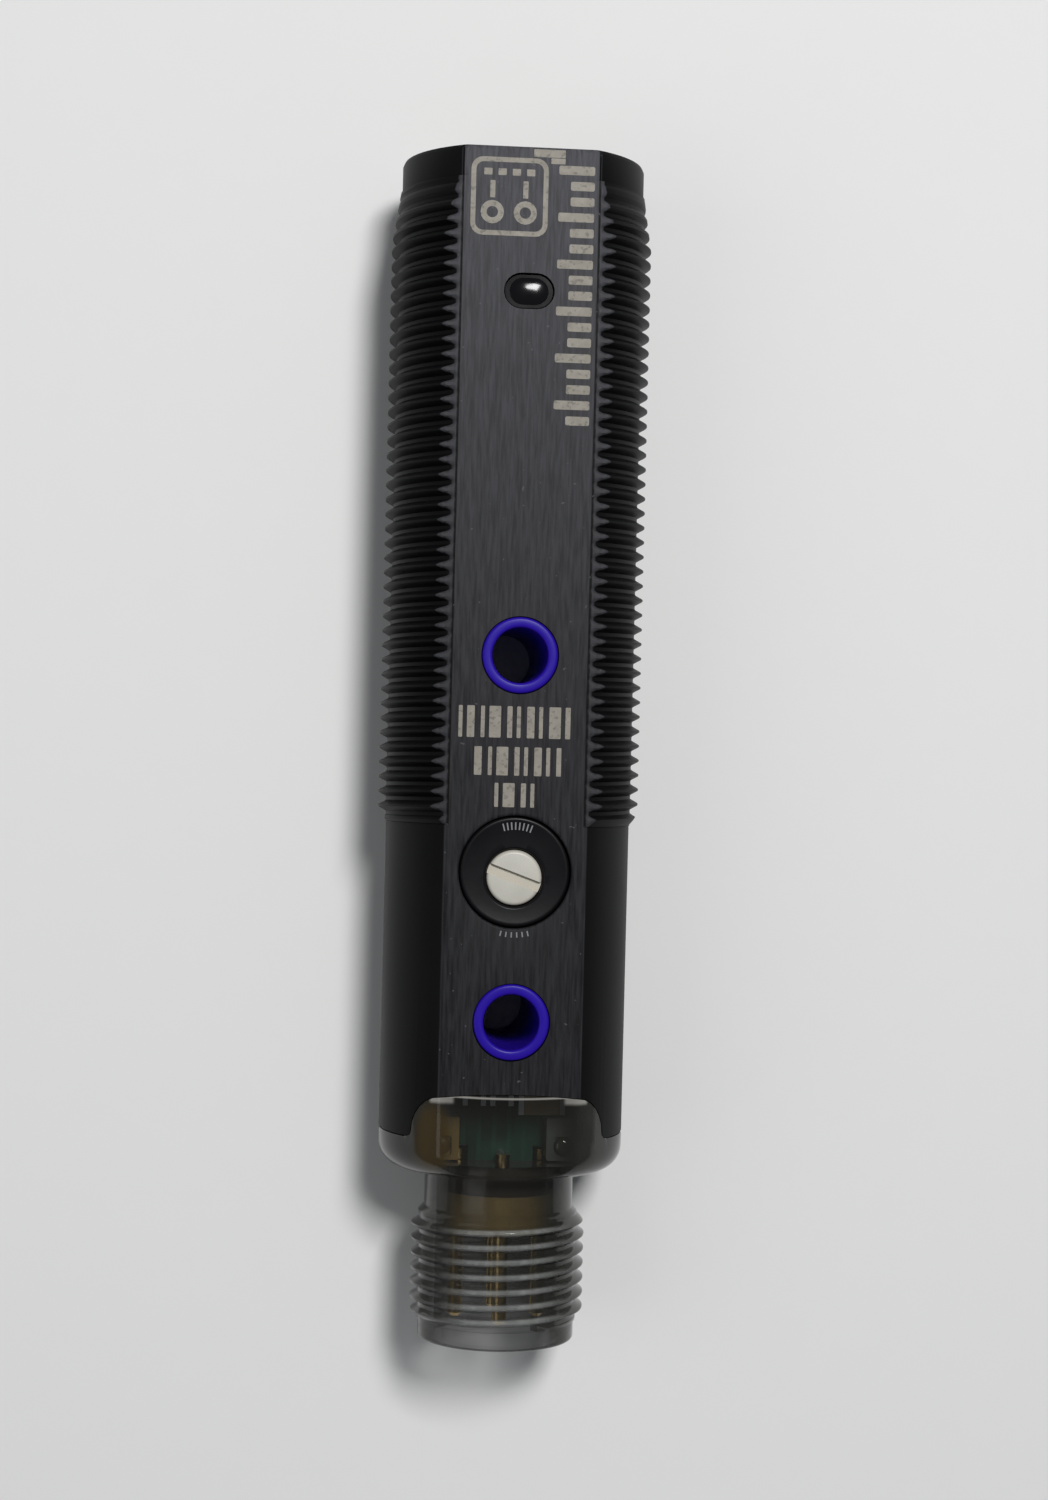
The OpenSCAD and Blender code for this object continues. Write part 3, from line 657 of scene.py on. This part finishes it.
class SENSOR_OT_sleeves(bpy.types.Operator):
    """Two coloured sleeves through the barrel, with rounded rims"""

    bl_idname = "sensor.sleeves"
    bl_label = "Cross sleeves"

    def execute(self, context):
        paint = satin_finish("sleeve_plastic", colours().sleeve, 0.34, 0.2, 1800, 0.012, 0.15)
        for node in ("sleeve_front", "sleeve_rear"):
            at = middle(node)
            outer = (high(node).x - low(node).x) / 2
            inner = outer - 0.7 * MM
            rim = 0.2 * MM
            top = (rounding(outer - rim, TOP_Z - rim, rim, 0, 90)
                   + rounding(inner + rim, TOP_Z - rim, rim, 90, 180))
            profile = top + [(r, TOP_Z - z) for r, z in reversed(top)]
            sleeve = upright(node + "_tube", profile, at.x, at.y)
            finish_piece(sleeve, paint, "sensor", "blue_plastic", node)
        return {"FINISHED"}


class SENSOR_OT_optic(bpy.types.Operator):
    """Lens plate, and the glossy snap boss of the optic in its window"""

    bl_idname = "sensor.optic"
    bl_label = "Optic"

    def execute(self, context):
        self.lens_paint().on(NODES["lens_plate"])
        gloss = satin_finish("gloss_black", colours().rubber, 0.12, 0.2, 600, 0.004, 0.22)
        gloss.on(NODES["optic_carrier"])
        outline = np.array(stadium(0, 0, 1.6 * MM, 1.1 * MM))
        rise, base = 0.35 * MM, TOP_Z - 0.45 * MM
        foot = base - 0.4 * MM
        lean = np.radians(np.linspace(0, 86, 12))
        dome = zip(np.cos(lean), base + rise * np.sin(lean))
        share, z = np.array([(0, foot), (1, foot), *dome, (0, base + rise)]).T
        plan = np.concatenate([outline, outline[:1]])
        points = np.stack([np.outer(plan[:, 0], share),
                           BOSS_Y + np.outer(plan[:, 1], share),
                           np.broadcast_to(z, (len(plan), len(z)))], axis=2)
        boss = link("snap_boss", grid_mesh("snap_boss", points))
        finish_piece(boss, gloss, "sensor", "gloss_black")
        film = satin_finish("film", (0.12, 0.11, 0.13), 0.1, 0.1, 500, 0.002)
        film.on(NODES["emitter_polariser"], NODES["receiver_polariser"])
        for name, rgb, node in (("red_epoxy", (0.5, 0.05, 0.04), "emitter_led"),
                                ("dark_epoxy", (0.03, 0.025, 0.04), "photodiode")):
            satin_finish(name, rgb, 0.12, 0.2, 400, 0.003).on(NODES[node])
        return {"FINISHED"}

    @staticmethod
    def lens_paint():
        """Dark red filter: a lens shows as a lighter disc with a painted highlight round its rim,
        on each side.
        """
        p = Paint("red_filter", specular_ior_level=0.35)
        x, y, z = p.parts()
        lens_x = middle("photodiode").x
        reach = (((x.size() - lens_x) ** 2) + ((z - AXIS_Z) ** 2)) ** 0.5
        disc = reach.below(2.75 * MM, 0.06 * MM)
        # Painted highlight round the rim of each lens.
        rim = disc * reach.above(2.5 * MM, 0.08 * MM)
        cloud = p.noise(180, detail=3.0)
        dark = p.mix((0.022, 0.002, 0.003), (0.035, 0.003, 0.004), cloud)
        lens = p.mix(dark, (0.11, 0.006, 0.008), disc)
        p.set("Base Color", p.mix(lens, (0.2, 0.02, 0.02), rim))
        p.set("Roughness", 0.06 + cloud * 0.08)
        return p


class SENSOR_OT_marks(bpy.types.Operator):
    """Generic printed marks on the flat: a framed beam sign, a graduated scale and bar codes"""

    bl_idname = "sensor.marks"
    bl_label = "Printed marks"

    def execute(self, context):
        self.ink = sizes().ink
        shapes = [*self.sign(), *self.scale(), *self.codes()]
        marks = self.join("printed_marks", shapes)
        finish_piece(marks, self.ink_paint(), "sensor", "black_plastic")
        return {"FINISHED"}

    @staticmethod
    def box(x0, x1, s0, s1, r=0.05):
        """Rounded bar between two places across and two distances behind the front, in mm."""
        return [(np.array(rounded_box(x0, x1, -s1, -s0, r, 4)), None)]

    @staticmethod
    def ring(outer, inner):
        return [(np.array(outer), np.array(inner))]

    def sign(self):
        """A frame round a beam that leaves one lens and comes back to the other, and a tab ahead
        of its right corner."""
        shapes = self.ring(rounded_box(-4.05, 1.1, -6.0, -0.8, 0.8, 6),
                           rounded_box(-3.72, 0.77, -5.67, -1.13, 0.5, 6))
        for x in (-2.6, -0.4):
            shapes += self.ring(rounding(x, -4.45, 0.78, 0, 337.5, 16),
                                rounding(x, -4.45, 0.38, 0, 337.5, 16))
            shapes += self.box(x - 0.17, x + 0.17, 2.35, 3.5)
        for i in range(4):
            shapes += self.box(-3.2 + 0.95 * i, -2.65 + 0.95 * i, 1.55, 2.0)
        return shapes + self.box(0.1, 2.2, 0.18, 0.7) + self.box(1.25, 2.2, 0.74, 1.12)

    def scale(self):
        """Graduations across the right edge of the flat, every third one longer."""
        shapes = []
        edge, first, step, half = 4.2, 1.5, 1.04, 0.3
        for i in range(17):
            reach = 2.4 if i % 3 == 0 else 1.6
            s = first + i * step
            shapes += self.box(edge - reach, edge, s - half, s + half, 0.12)
        return shapes

    def codes(self):
        """Three rows of bars whose widths and gaps repeat by a rule."""
        shapes = []
        for row, (half, s0, s1) in enumerate(((4.0, 37.2, 39.3), (2.9, 39.9, 41.8),
                                              (1.5, 42.3, 43.9))):
            x, i = -half, row
            while x < half - 0.3:
                width = (0.26, 0.5, 0.26, 0.78, 0.34)[i % 5]
                shapes += self.box(x, min(x + width, half), s0, s1, 0.06)
                x += width + (0.3, 0.42)[i % 2]
                i += 1
        return shapes

    def join(self, name, shapes):
        """One mesh of thin raised shapes, each an outline that may have a hole."""
        points, faces = [], []
        for outer, inner in shapes:
            start, count = len(points), len(outer)
            loops = [outer] if inner is None else [outer, inner]
            for loop in loops:
                for z in (TOP_Z, TOP_Z + self.ink):
                    points += [(x * MM, FRONT_Y + y * MM, z) for x, y in loop]
            for k in range(count):
                n = (k + 1) % count
                o0, o1, i0, i1 = (start + level * count for level in range(4))
                faces.append((o0 + k, o0 + n, o1 + n, o1 + k))
                if inner is not None:
                    faces.append((i0 + n, i0 + k, i1 + k, i1 + n))
                    faces.append((o1 + k, o1 + n, i1 + n, i1 + k))
                    faces.append((o0 + n, o0 + k, i0 + k, i0 + n))
            if inner is None:
                faces.append(tuple(start + k for k in reversed(range(count))))
                faces.append(tuple(start + count + k for k in range(count)))
        mesh = bpy.data.meshes.new(name)
        mesh.from_pydata(points, [], faces)
        return link(name, clean(mesh))

    @staticmethod
    def ink_paint():
        """Pale ink, thin in places and rubbed through in others."""
        p = Paint("ink", roughness=0.6)
        rgb = colours().ink
        rub = p.noise(1400, detail=4.0, rough=0.7)
        worn = p.noise(3200, detail=2.0).above(0.6, 0.05)
        p.set("Base Color", p.mix(tint(rgb, 1.05), tint(rgb, 0.35), rub * 0.7 + worn * 0.4))
        p.set("Roughness", 0.5 + rub * 0.2)
        return p


class SENSOR_OT_trimmer(bpy.types.Operator):
    """Slotted rotor, and the plug round it with its graduations"""

    bl_idname = "sensor.trimmer"
    bl_label = "Trimmer"

    def execute(self, context):
        self.rotor()
        self.plug()
        satin_finish("trimmer_blue", (0.03, 0.09, 0.32), 0.4).on(NODES["trimmer_base"])
        metal_finish("wiper", (0.8, 0.6, 0.25), 0.3).on(NODES["trimmer_wiper"])
        return {"FINISHED"}

    @staticmethod
    def rotor():
        node = "trimmer_rotor"
        at, top, foot = middle(node), high(node).z, low(node).z
        head = (high(node).x - low(node).x) / 2
        shaft = 1.1 * MM
        head_foot = foot + 2.3 * MM
        rim = 0.26 * MM
        slot_half, slot_depth = 0.34 * MM, 0.3 * MM
        profile = [(0, foot), (shaft, foot), (shaft, head_foot), (head, head_foot),
                   *rounding(head - rim, top - rim, rim, 0, 90, 7), (0, top)]
        rotor = upright("rotor", profile, at.x, at.y)
        slot = rounded_box(-3 * MM, 3 * MM, -slot_half, slot_half, 0.02 * MM, 2)
        turn = math.radians(-20)
        turned = [(at.x + x * math.cos(turn) - y * math.sin(turn),
                   at.y + x * math.sin(turn) + y * math.cos(turn)) for x, y in slot]
        carve(rotor, prism("slot", turned, top - slot_depth, top + 1 * MM))
        p = Paint("rotor_plastic", roughness=0.38)
        x, y, z = p.parts()
        rgb = colours().rotor
        # A warmer, beige colour below the top face: in the slot and on the rounded rim.
        below_face = z.below(top - 0.12 * MM, 0.12 * MM)
        cloud = p.noise(700, detail=4.0)
        clean_face = p.mix(tint(rgb, 0.9), tint(rgb, 1.06), cloud)
        p.set("Base Color", p.mix(clean_face, (0.50, 0.455, 0.36), below_face * (0.35 + cloud * 0.4)))
        p.set("Roughness", 0.3 + cloud * 0.2)
        p.bump(p.noise(1700, detail=2.0), 0.3, 0.01 * MM)
        finish_piece(rotor, p, "trimmer", "white_plastic", node)

    @staticmethod
    def plug():
        node = "trimmer_seal"
        at, top, foot = middle(node), high(node).z, low(node).z
        flange = (high(node).x - low(node).x) / 2
        outer = 3.7 * MM
        step = foot + 1.2 * MM
        rim = 0.22 * MM
        dish = 0.12 * MM
        face = [(r, top - dish * (1 - (r / (outer - rim)) ** 4))
                for r in np.linspace(outer - rim - 0.1 * MM, 0, 9)]
        profile = [(0, foot), (flange, foot), (flange, step), (outer, step),
                   *rounding(outer - rim, top - rim, rim, 0, 90, 6), *face]
        plug = upright("trimmer_plug", profile, at.x, at.y)
        rotor = middle("trimmer_rotor")
        bore = (high("trimmer_rotor").x - low("trimmer_rotor").x) / 2 + 0.06 * MM
        lip = [(bore + 0.2 * MM * (1 - math.cos(a)), top - 0.3 * MM + 0.2 * MM * math.sin(a))
               for a in np.radians(np.linspace(0, 90, 4))]
        tool = [(0, foot - 1 * MM), (bore, foot - 1 * MM), *lip,
                (bore + 0.2 * MM, top + 1 * MM), (0, top + 1 * MM)]
        carve(plug, upright("tool", tool, rotor.x, rotor.y))
        rubber = satin_finish("plug_rubber", colours().rubber, 0.34, 0.3, 1600, 0.012, 0.15)
        finish_piece(plug, rubber, "sensor", "black_rubber", node)
        ticks = graduations("trimmer_graduations", at, [
            (2.8, 3.3, top + 0.01 * MM, range(70, 108, 5)),
            (4.0, 4.35, TOP_Z + 0.02 * MM, range(258, 285, 5))])
        grey = satin_finish("tick_plastic", (0.2, 0.2, 0.21), 0.45, 0.3)
        finish_piece(ticks, grey, "sensor", "black_plastic")


def graduations(name, at, arcs):
    """Raised radial ticks: arcs of (inner mm, outer mm, top, angles) round a place."""
    half, depth = 0.045 * MM, 0.2 * MM
    points, faces = [], []
    for inner, outer, top, places in arcs:
        for angle in np.radians(list(places)):
            out = np.array([math.cos(angle), math.sin(angle)])
            side = np.array([-out[1], out[0]]) * half
            start = len(points)
            for r, z in ((inner, top - depth), (outer, top - depth), (outer, top), (inner, top)):
                for sign in (-1, 1):
                    x, y = out * r * MM + side * sign
                    points.append((at.x + x, at.y + y, z))
            for a, b, c, d in ((0, 1, 3, 2), (2, 3, 5, 4), (4, 5, 7, 6), (6, 7, 1, 0),
                               (0, 2, 4, 6), (1, 7, 5, 3)):
                faces.append((start + a, start + b, start + c, start + d))
    mesh = bpy.data.meshes.new(name)
    mesh.from_pydata(points, [], faces)
    return link(name, clean(mesh))


class SENSOR_OT_board(bpy.types.Operator):
    """Circuit board, its parts and its two status lamps"""

    bl_idname = "sensor.board"
    bl_label = "Circuit board"

    def execute(self, context):
        self.board_paint().on(NODES["circuit_board"])
        tin = metal_finish("tinned", (0.62, 0.62, 0.6), 0.3)
        tin.on(*(NODES[n] for n in ("emitter_leads", "photodiode_leads", "receiver_shield",
                                    "signal_chip_leads", "regulator_leads", "transistor_leads",
                                    "chip_terminals", "trimmer_terminals", "contact_links")))
        chip = satin_finish("chip_black", (0.02, 0.02, 0.021), 0.5, 0.3, 2500)
        chip.on(*(NODES[n] for n in ("signal_chip", "regulator", "output_transistors",
                                     "chip_resistors", "surge_diode")))
        satin_finish("ceramic", (0.38, 0.28, 0.17), 0.5).on(NODES["chip_capacitors"])
        satin_finish("tantalum", (0.6, 0.36, 0.05), 0.45).on(NODES["tantalum_capacitor"])
        black = satin_finish("seal_rubber", colours().rubber, 0.4)
        black.on(NODES["sleeve_seals_front"], NODES["sleeve_seals_rear"])
        self.lamp("status_led_yellow", colours().lamp, (0.05, 0.025, 0.008), "led_amber", 0.4)
        self.lamp("status_led_green", (0.10, 0.11, 0.10), (0.04, 0.05, 0.03), "led_green", 0.06)
        return {"FINISHED"}

    @staticmethod
    def board_paint():
        """Solder mask over copper: cloudy green, darker over the laminate and lighter where wide
        copper areas and a few fine tracks lie under it."""
        p = Paint("solder_mask", roughness=0.3, specular_ior_level=0.3)
        x, y, z = p.parts()
        copper = p.noise(170, (1, 0.8, 1), 1.0).above(0.52, 0.03)
        tracks = ((x * 900 + p.noise(60, detail=1.0) * 2).math("FRACT") - 0.5).size()
        tracks = tracks.below(0.14, 0.05) * p.noise(120, detail=1.0).above(0.5, 0.04)
        cloud = p.noise(500, detail=4.0)
        rgb = colours().board
        mask = p.mix(tint(rgb, 0.7), tint(rgb, 2.0), copper * 0.7 + cloud * 0.3)
        p.set("Base Color", p.mix(mask, tint(rgb, 2.6), tracks * 0.5))
        p.set("Roughness", 0.3 + cloud * 0.15)
        p.bump(copper * 0.5 + tracks, 0.3, 0.02 * MM)
        return p

    @staticmethod
    def lamp(node, body, window, slot, rough):
        """Lamp body with a domed window sunk in it near its rear end."""
        lo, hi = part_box(node)
        top = hi.z - 0.1 * MM
        to_rear, half, dome_r, sunk = 0.5 * MM, 0.7 * MM, 0.66 * MM, 0.3 * MM
        at = Vector(((lo.x + hi.x) / 2, (lo.y + hi.y) / 2 - to_rear))
        shell = prism(node + "_body", rounded_box(lo.x, hi.x, lo.y, hi.y, 0.15 * MM), lo.z, top)
        square = rounded_box(at.x - half, at.x + half, at.y - half, at.y + half, 0.25 * MM)
        carve(shell, prism("cut", square, top - 0.35 * MM, top + 1 * MM))
        finish_piece(shell, satin_finish(node + "_plastic", body, 0.35), "sensor", slot, node)
        dome = [(dome_r * math.cos(a), top - sunk + 0.28 * MM * math.sin(a))
                for a in np.radians(np.linspace(0, 90, 8))]
        foot = top - sunk - 0.06 * MM
        glass = upright(node + "_window", [(0, foot), (dome_r, foot), *dome], at.x, at.y)
        finish_piece(glass, satin_finish(node + "_gel", window, rough, 0.4, 300, 0.01, 1.0),
                     "sensor", slot)


class SENSOR_OT_contacts(bpy.types.Operator):
    """Contact carrier, gold pins with their collars, and the resin behind them"""

    bl_idname = "sensor.contacts"
    bl_label = "Contacts"

    def execute(self, context):
        gold = metal_finish("gold", (0.62, 0.45, 0.2), 0.16)
        pins = [f"contact_pin_{i}" for i in (1, 2, 3, 4)]
        gold.on(*(NODES[n] for n in pins))
        amber = Paint("amber_moulding", roughness=0.25)
        rgb = colours().amber
        cloud = amber.noise(260, detail=3.0)
        amber.set("Base Color", amber.mix(tint(rgb, 0.8), tint(rgb, 1.3), cloud))
        amber.set("Alpha", 0.5 + cloud * 0.15)
        amber.on(NODES["contact_carrier"])
        satin_finish("resin", (0.028, 0.02, 0.014), 0.22, 0.4, 500, 0.02).on(NODES["neck_resin"])
        return {"FINISHED"}


class SENSOR_OT_tail(bpy.types.Operator):
    """Clear tail: window block, rounded shoulder, neck, plug thread and socket"""

    bl_idname = "sensor.tail"
    bl_label = "Clear tail"

    def execute(self, context):
        size = sizes()
        theta = angles(math.asin(FLAT / PLAIN_R), 96, 8)
        bore_r = PLAIN_R - size.wall
        spigot_r, spigot_flat = bore_r - 0.08 * MM, FLAT - size.wall - 0.08 * MM
        spigot_wall = 0.95 * MM
        hollow_r, hollow_flat = spigot_r - spigot_wall, spigot_flat - spigot_wall
        spigot_s = behind(high("tail_cap").y)
        shoulder = HOUSING_L + size.cap
        corner, fillet, mouth = size.cap_corner, 0.25 * MM, 0.3 * MM
        root = PLUG_CREST_R - size.thread_depth
        neck = root - size.neck
        pilot = root - 0.05 * MM
        socket = high("contact_carrier").x + 0.05 * MM
        thread_s0 = shoulder + size.neck_length
        thread_s1 = TOTAL_L - PILOT_L
        start = HOUSING_L + 0.05 * MM
        floor_s = shoulder - SOCKET_FLOOR
        soft = size.edge
        front = rows(theta, [(spigot_r, spigot_s), (spigot_r, start), (PLAIN_R - 0.06 * MM, start),
                             (PLAIN_R, start + 0.08 * MM),
                             *rounding(PLAIN_R - corner, shoulder - corner, corner, 0, 88, 9),
                             (neck + fillet, shoulder),
                             *reversed(rounding(neck + fillet, shoulder + fillet, fillet,
                                                180, 262, 4)),
                             (neck, thread_s0 - 0.3 * MM), (root, thread_s0)])
        ridge = thread(theta, root, size.thread_depth, thread_s0, thread_s1, size.pitch,
                       0.7 * MM, 0.7 * MM)
        rear = rows(theta, [(pilot, thread_s1),
                            *rounding(pilot - mouth, TOTAL_L - mouth, mouth, 0, 90, 5),
                            (socket + 0.2 * MM, TOTAL_L), (socket, TOTAL_L - 0.2 * MM),
                            (socket, floor_s), (hollow_r, floor_s), (hollow_r, spigot_s)])
        outer = [np.concatenate(part, axis=1) for part in zip(front, ridge, rear)]
        count = outer[0].shape[1]
        flats = np.full(count, FLAT)
        flats[:2] = spigot_flat
        flats[2] = FLAT - 0.06 * MM
        flats[-2:] = hollow_flat
        points = along_axis(theta, *outer, flats, soft)
        tail = link("tail", grid_mesh("tail", points))
        carve(tail, self.window_block(theta, spigot_r, spigot_flat), "UNION")
        carve(tail, self.key(socket), "UNION")
        finish_piece(tail, clear_finish(), "sensor", "clear_plastic", "tail_cap")
        return {"FINISHED"}

    @staticmethod
    def window_block(theta, inner, inner_flat):
        """The part of the tail that fills the rear window of the barrel."""
        s0, s1 = HOUSING_L - 4 * MM, HOUSING_L + 0.3 * MM
        overlap = 0.3 * MM
        ring = rows(theta, [(PLAIN_R, s0), (PLAIN_R, s1), (inner - overlap, s1),
                            (inner - overlap, s0)])
        flats = np.array([FLAT, FLAT, inner_flat - overlap, inner_flat - overlap])
        block = link("block", grid_mesh("block", along_axis(theta, *ring, flats, sizes().edge)))
        outline = window_outline(-0.05 * MM)
        return carve(block, prism("plan", outline, AXIS_Z + 3.1 * MM, TOP_Z + 1 * MM), "INTERSECT")

    @staticmethod
    def key(socket):
        """Coding rib along the socket wall, half way between the upper and the right contact."""
        half = 0.55 * MM
        out = np.array([1, 1]) / math.sqrt(2)
        side = np.array([1, -1]) / math.sqrt(2)
        points = []
        for y in (low("contact_carrier").y - 0.05 * MM, FRONT_Y - TOTAL_L + 1 * MM):
            for r in (socket - 0.65 * MM, socket + 0.3 * MM):
                for offset in (-half, half):
                    x, height = out * r + side * offset
                    points.append((x, y, AXIS_Z + height))
        mesh = bpy.data.meshes.new("rib")
        mesh.from_pydata(points, [], [(0, 1, 3, 2), (4, 6, 7, 5), (0, 4, 5, 1), (2, 3, 7, 6),
                                      (0, 2, 6, 4), (1, 5, 7, 3)])
        return link("rib", clean(mesh))


class SENSOR_OT_stage(bpy.types.Operator):
    """Floor, lights, camera and a plain view transform, which keeps the blacks black"""

    bl_idname = "sensor.stage"
    bl_label = "Stage"

    def execute(self, context):
        settings = context.scene.sensor_stage
        context.scene.view_settings.view_transform = "Standard"
        self.floor()
        self.light("key", (0.08, 0.19, 0.45), size=0.11, power=1.95)
        self.light("fill", (-0.34, -0.05, 0.34), size=0.30, power=0.25)
        world = bpy.data.worlds.new("studio")
        world.use_nodes = True
        sky = world.node_tree.nodes["Background"].inputs
        sky["Color"].default_value = (0.9, 0.94, 1.0, 1)
        sky["Strength"].default_value = 0.13
        context.scene.world = world
        camera = bpy.data.objects.new("camera", bpy.data.cameras.new("camera"))
        camera.data.lens = settings.lens
        camera.data.clip_start = 0.005
        camera.location = settings.camera
        turn = Vector(settings.turn)
        camera.rotation_mode = "AXIS_ANGLE"
        camera.rotation_axis_angle = (turn.length, *turn.normalized())
        context.scene.collection.objects.link(camera)
        context.scene.camera = camera
        return {"FINISHED"}

    @staticmethod
    def floor():
        """Pale sheet under the sensor, large enough for every view."""
        half = 1.2
        corners = np.array([(-half, -half, 0), (half, -half, 0), (half, half, 0), (-half, half, 0)])
        mesh = bpy.data.meshes.new("floor")
        mesh.from_pydata(corners, [], [(0, 1, 2, 3)])
        floor = bpy.data.objects.new("floor", mesh)
        bpy.context.scene.collection.objects.link(floor)
        p = Paint("floor_paper", roughness=0.9)
        rgb = colours().floor
        p.set("Base Color", p.mix(tint(rgb, 0.985), tint(rgb, 1.0), p.noise(400, detail=3.0)))
        p.on(floor)

    @staticmethod
    def light(name, place, size, power):
        data = bpy.data.lights.new(name, "AREA")
        data.size = size
        data.energy = power
        lamp = bpy.data.objects.new(name, data)
        lamp.location = place
        lamp.rotation_euler = (-Vector(place)).to_track_quat("-Z", "Y").to_euler()
        bpy.context.scene.collection.objects.link(lamp)


class SENSOR_PT_pieces(bpy.types.Panel):
    """Lists the pieces of the sensor"""

    bl_label = "Sensor"
    bl_space_type = "VIEW_3D"
    bl_region_type = "UI"
    bl_category = "Sensor"

    def draw(self, context):
        for operator in OPERATORS:
            self.layout.operator(operator.bl_idname)


OPERATORS = (SENSOR_OT_stage, SENSOR_OT_barrel, SENSOR_OT_sleeves, SENSOR_OT_optic,
             SENSOR_OT_marks, SENSOR_OT_trimmer, SENSOR_OT_board, SENSOR_OT_contacts,
             SENSOR_OT_tail)
GROUPS = {"sensor_sizes": SensorSizes, "sensor_colours": SensorColours,
          "sensor_stage": StageSettings}


def register():
    for group in GROUPS.values():
        bpy.utils.register_class(group)
    for name, group in GROUPS.items():
        setattr(bpy.types.Scene, name, PointerProperty(type=group))
    for kind in (*OPERATORS, SENSOR_PT_pieces):
        bpy.utils.register_class(kind)


def unregister():
    for kind in (SENSOR_PT_pieces, *reversed(OPERATORS)):
        bpy.utils.unregister_class(kind)
    for name in GROUPS:
        delattr(bpy.types.Scene, name)
    for group in GROUPS.values():
        bpy.utils.unregister_class(group)


def main():
    register()
    for operator in OPERATORS:
        group, name = operator.bl_idname.split(".")
        getattr(getattr(bpy.ops, group), name)()


if __name__ == "__main__":
    main()
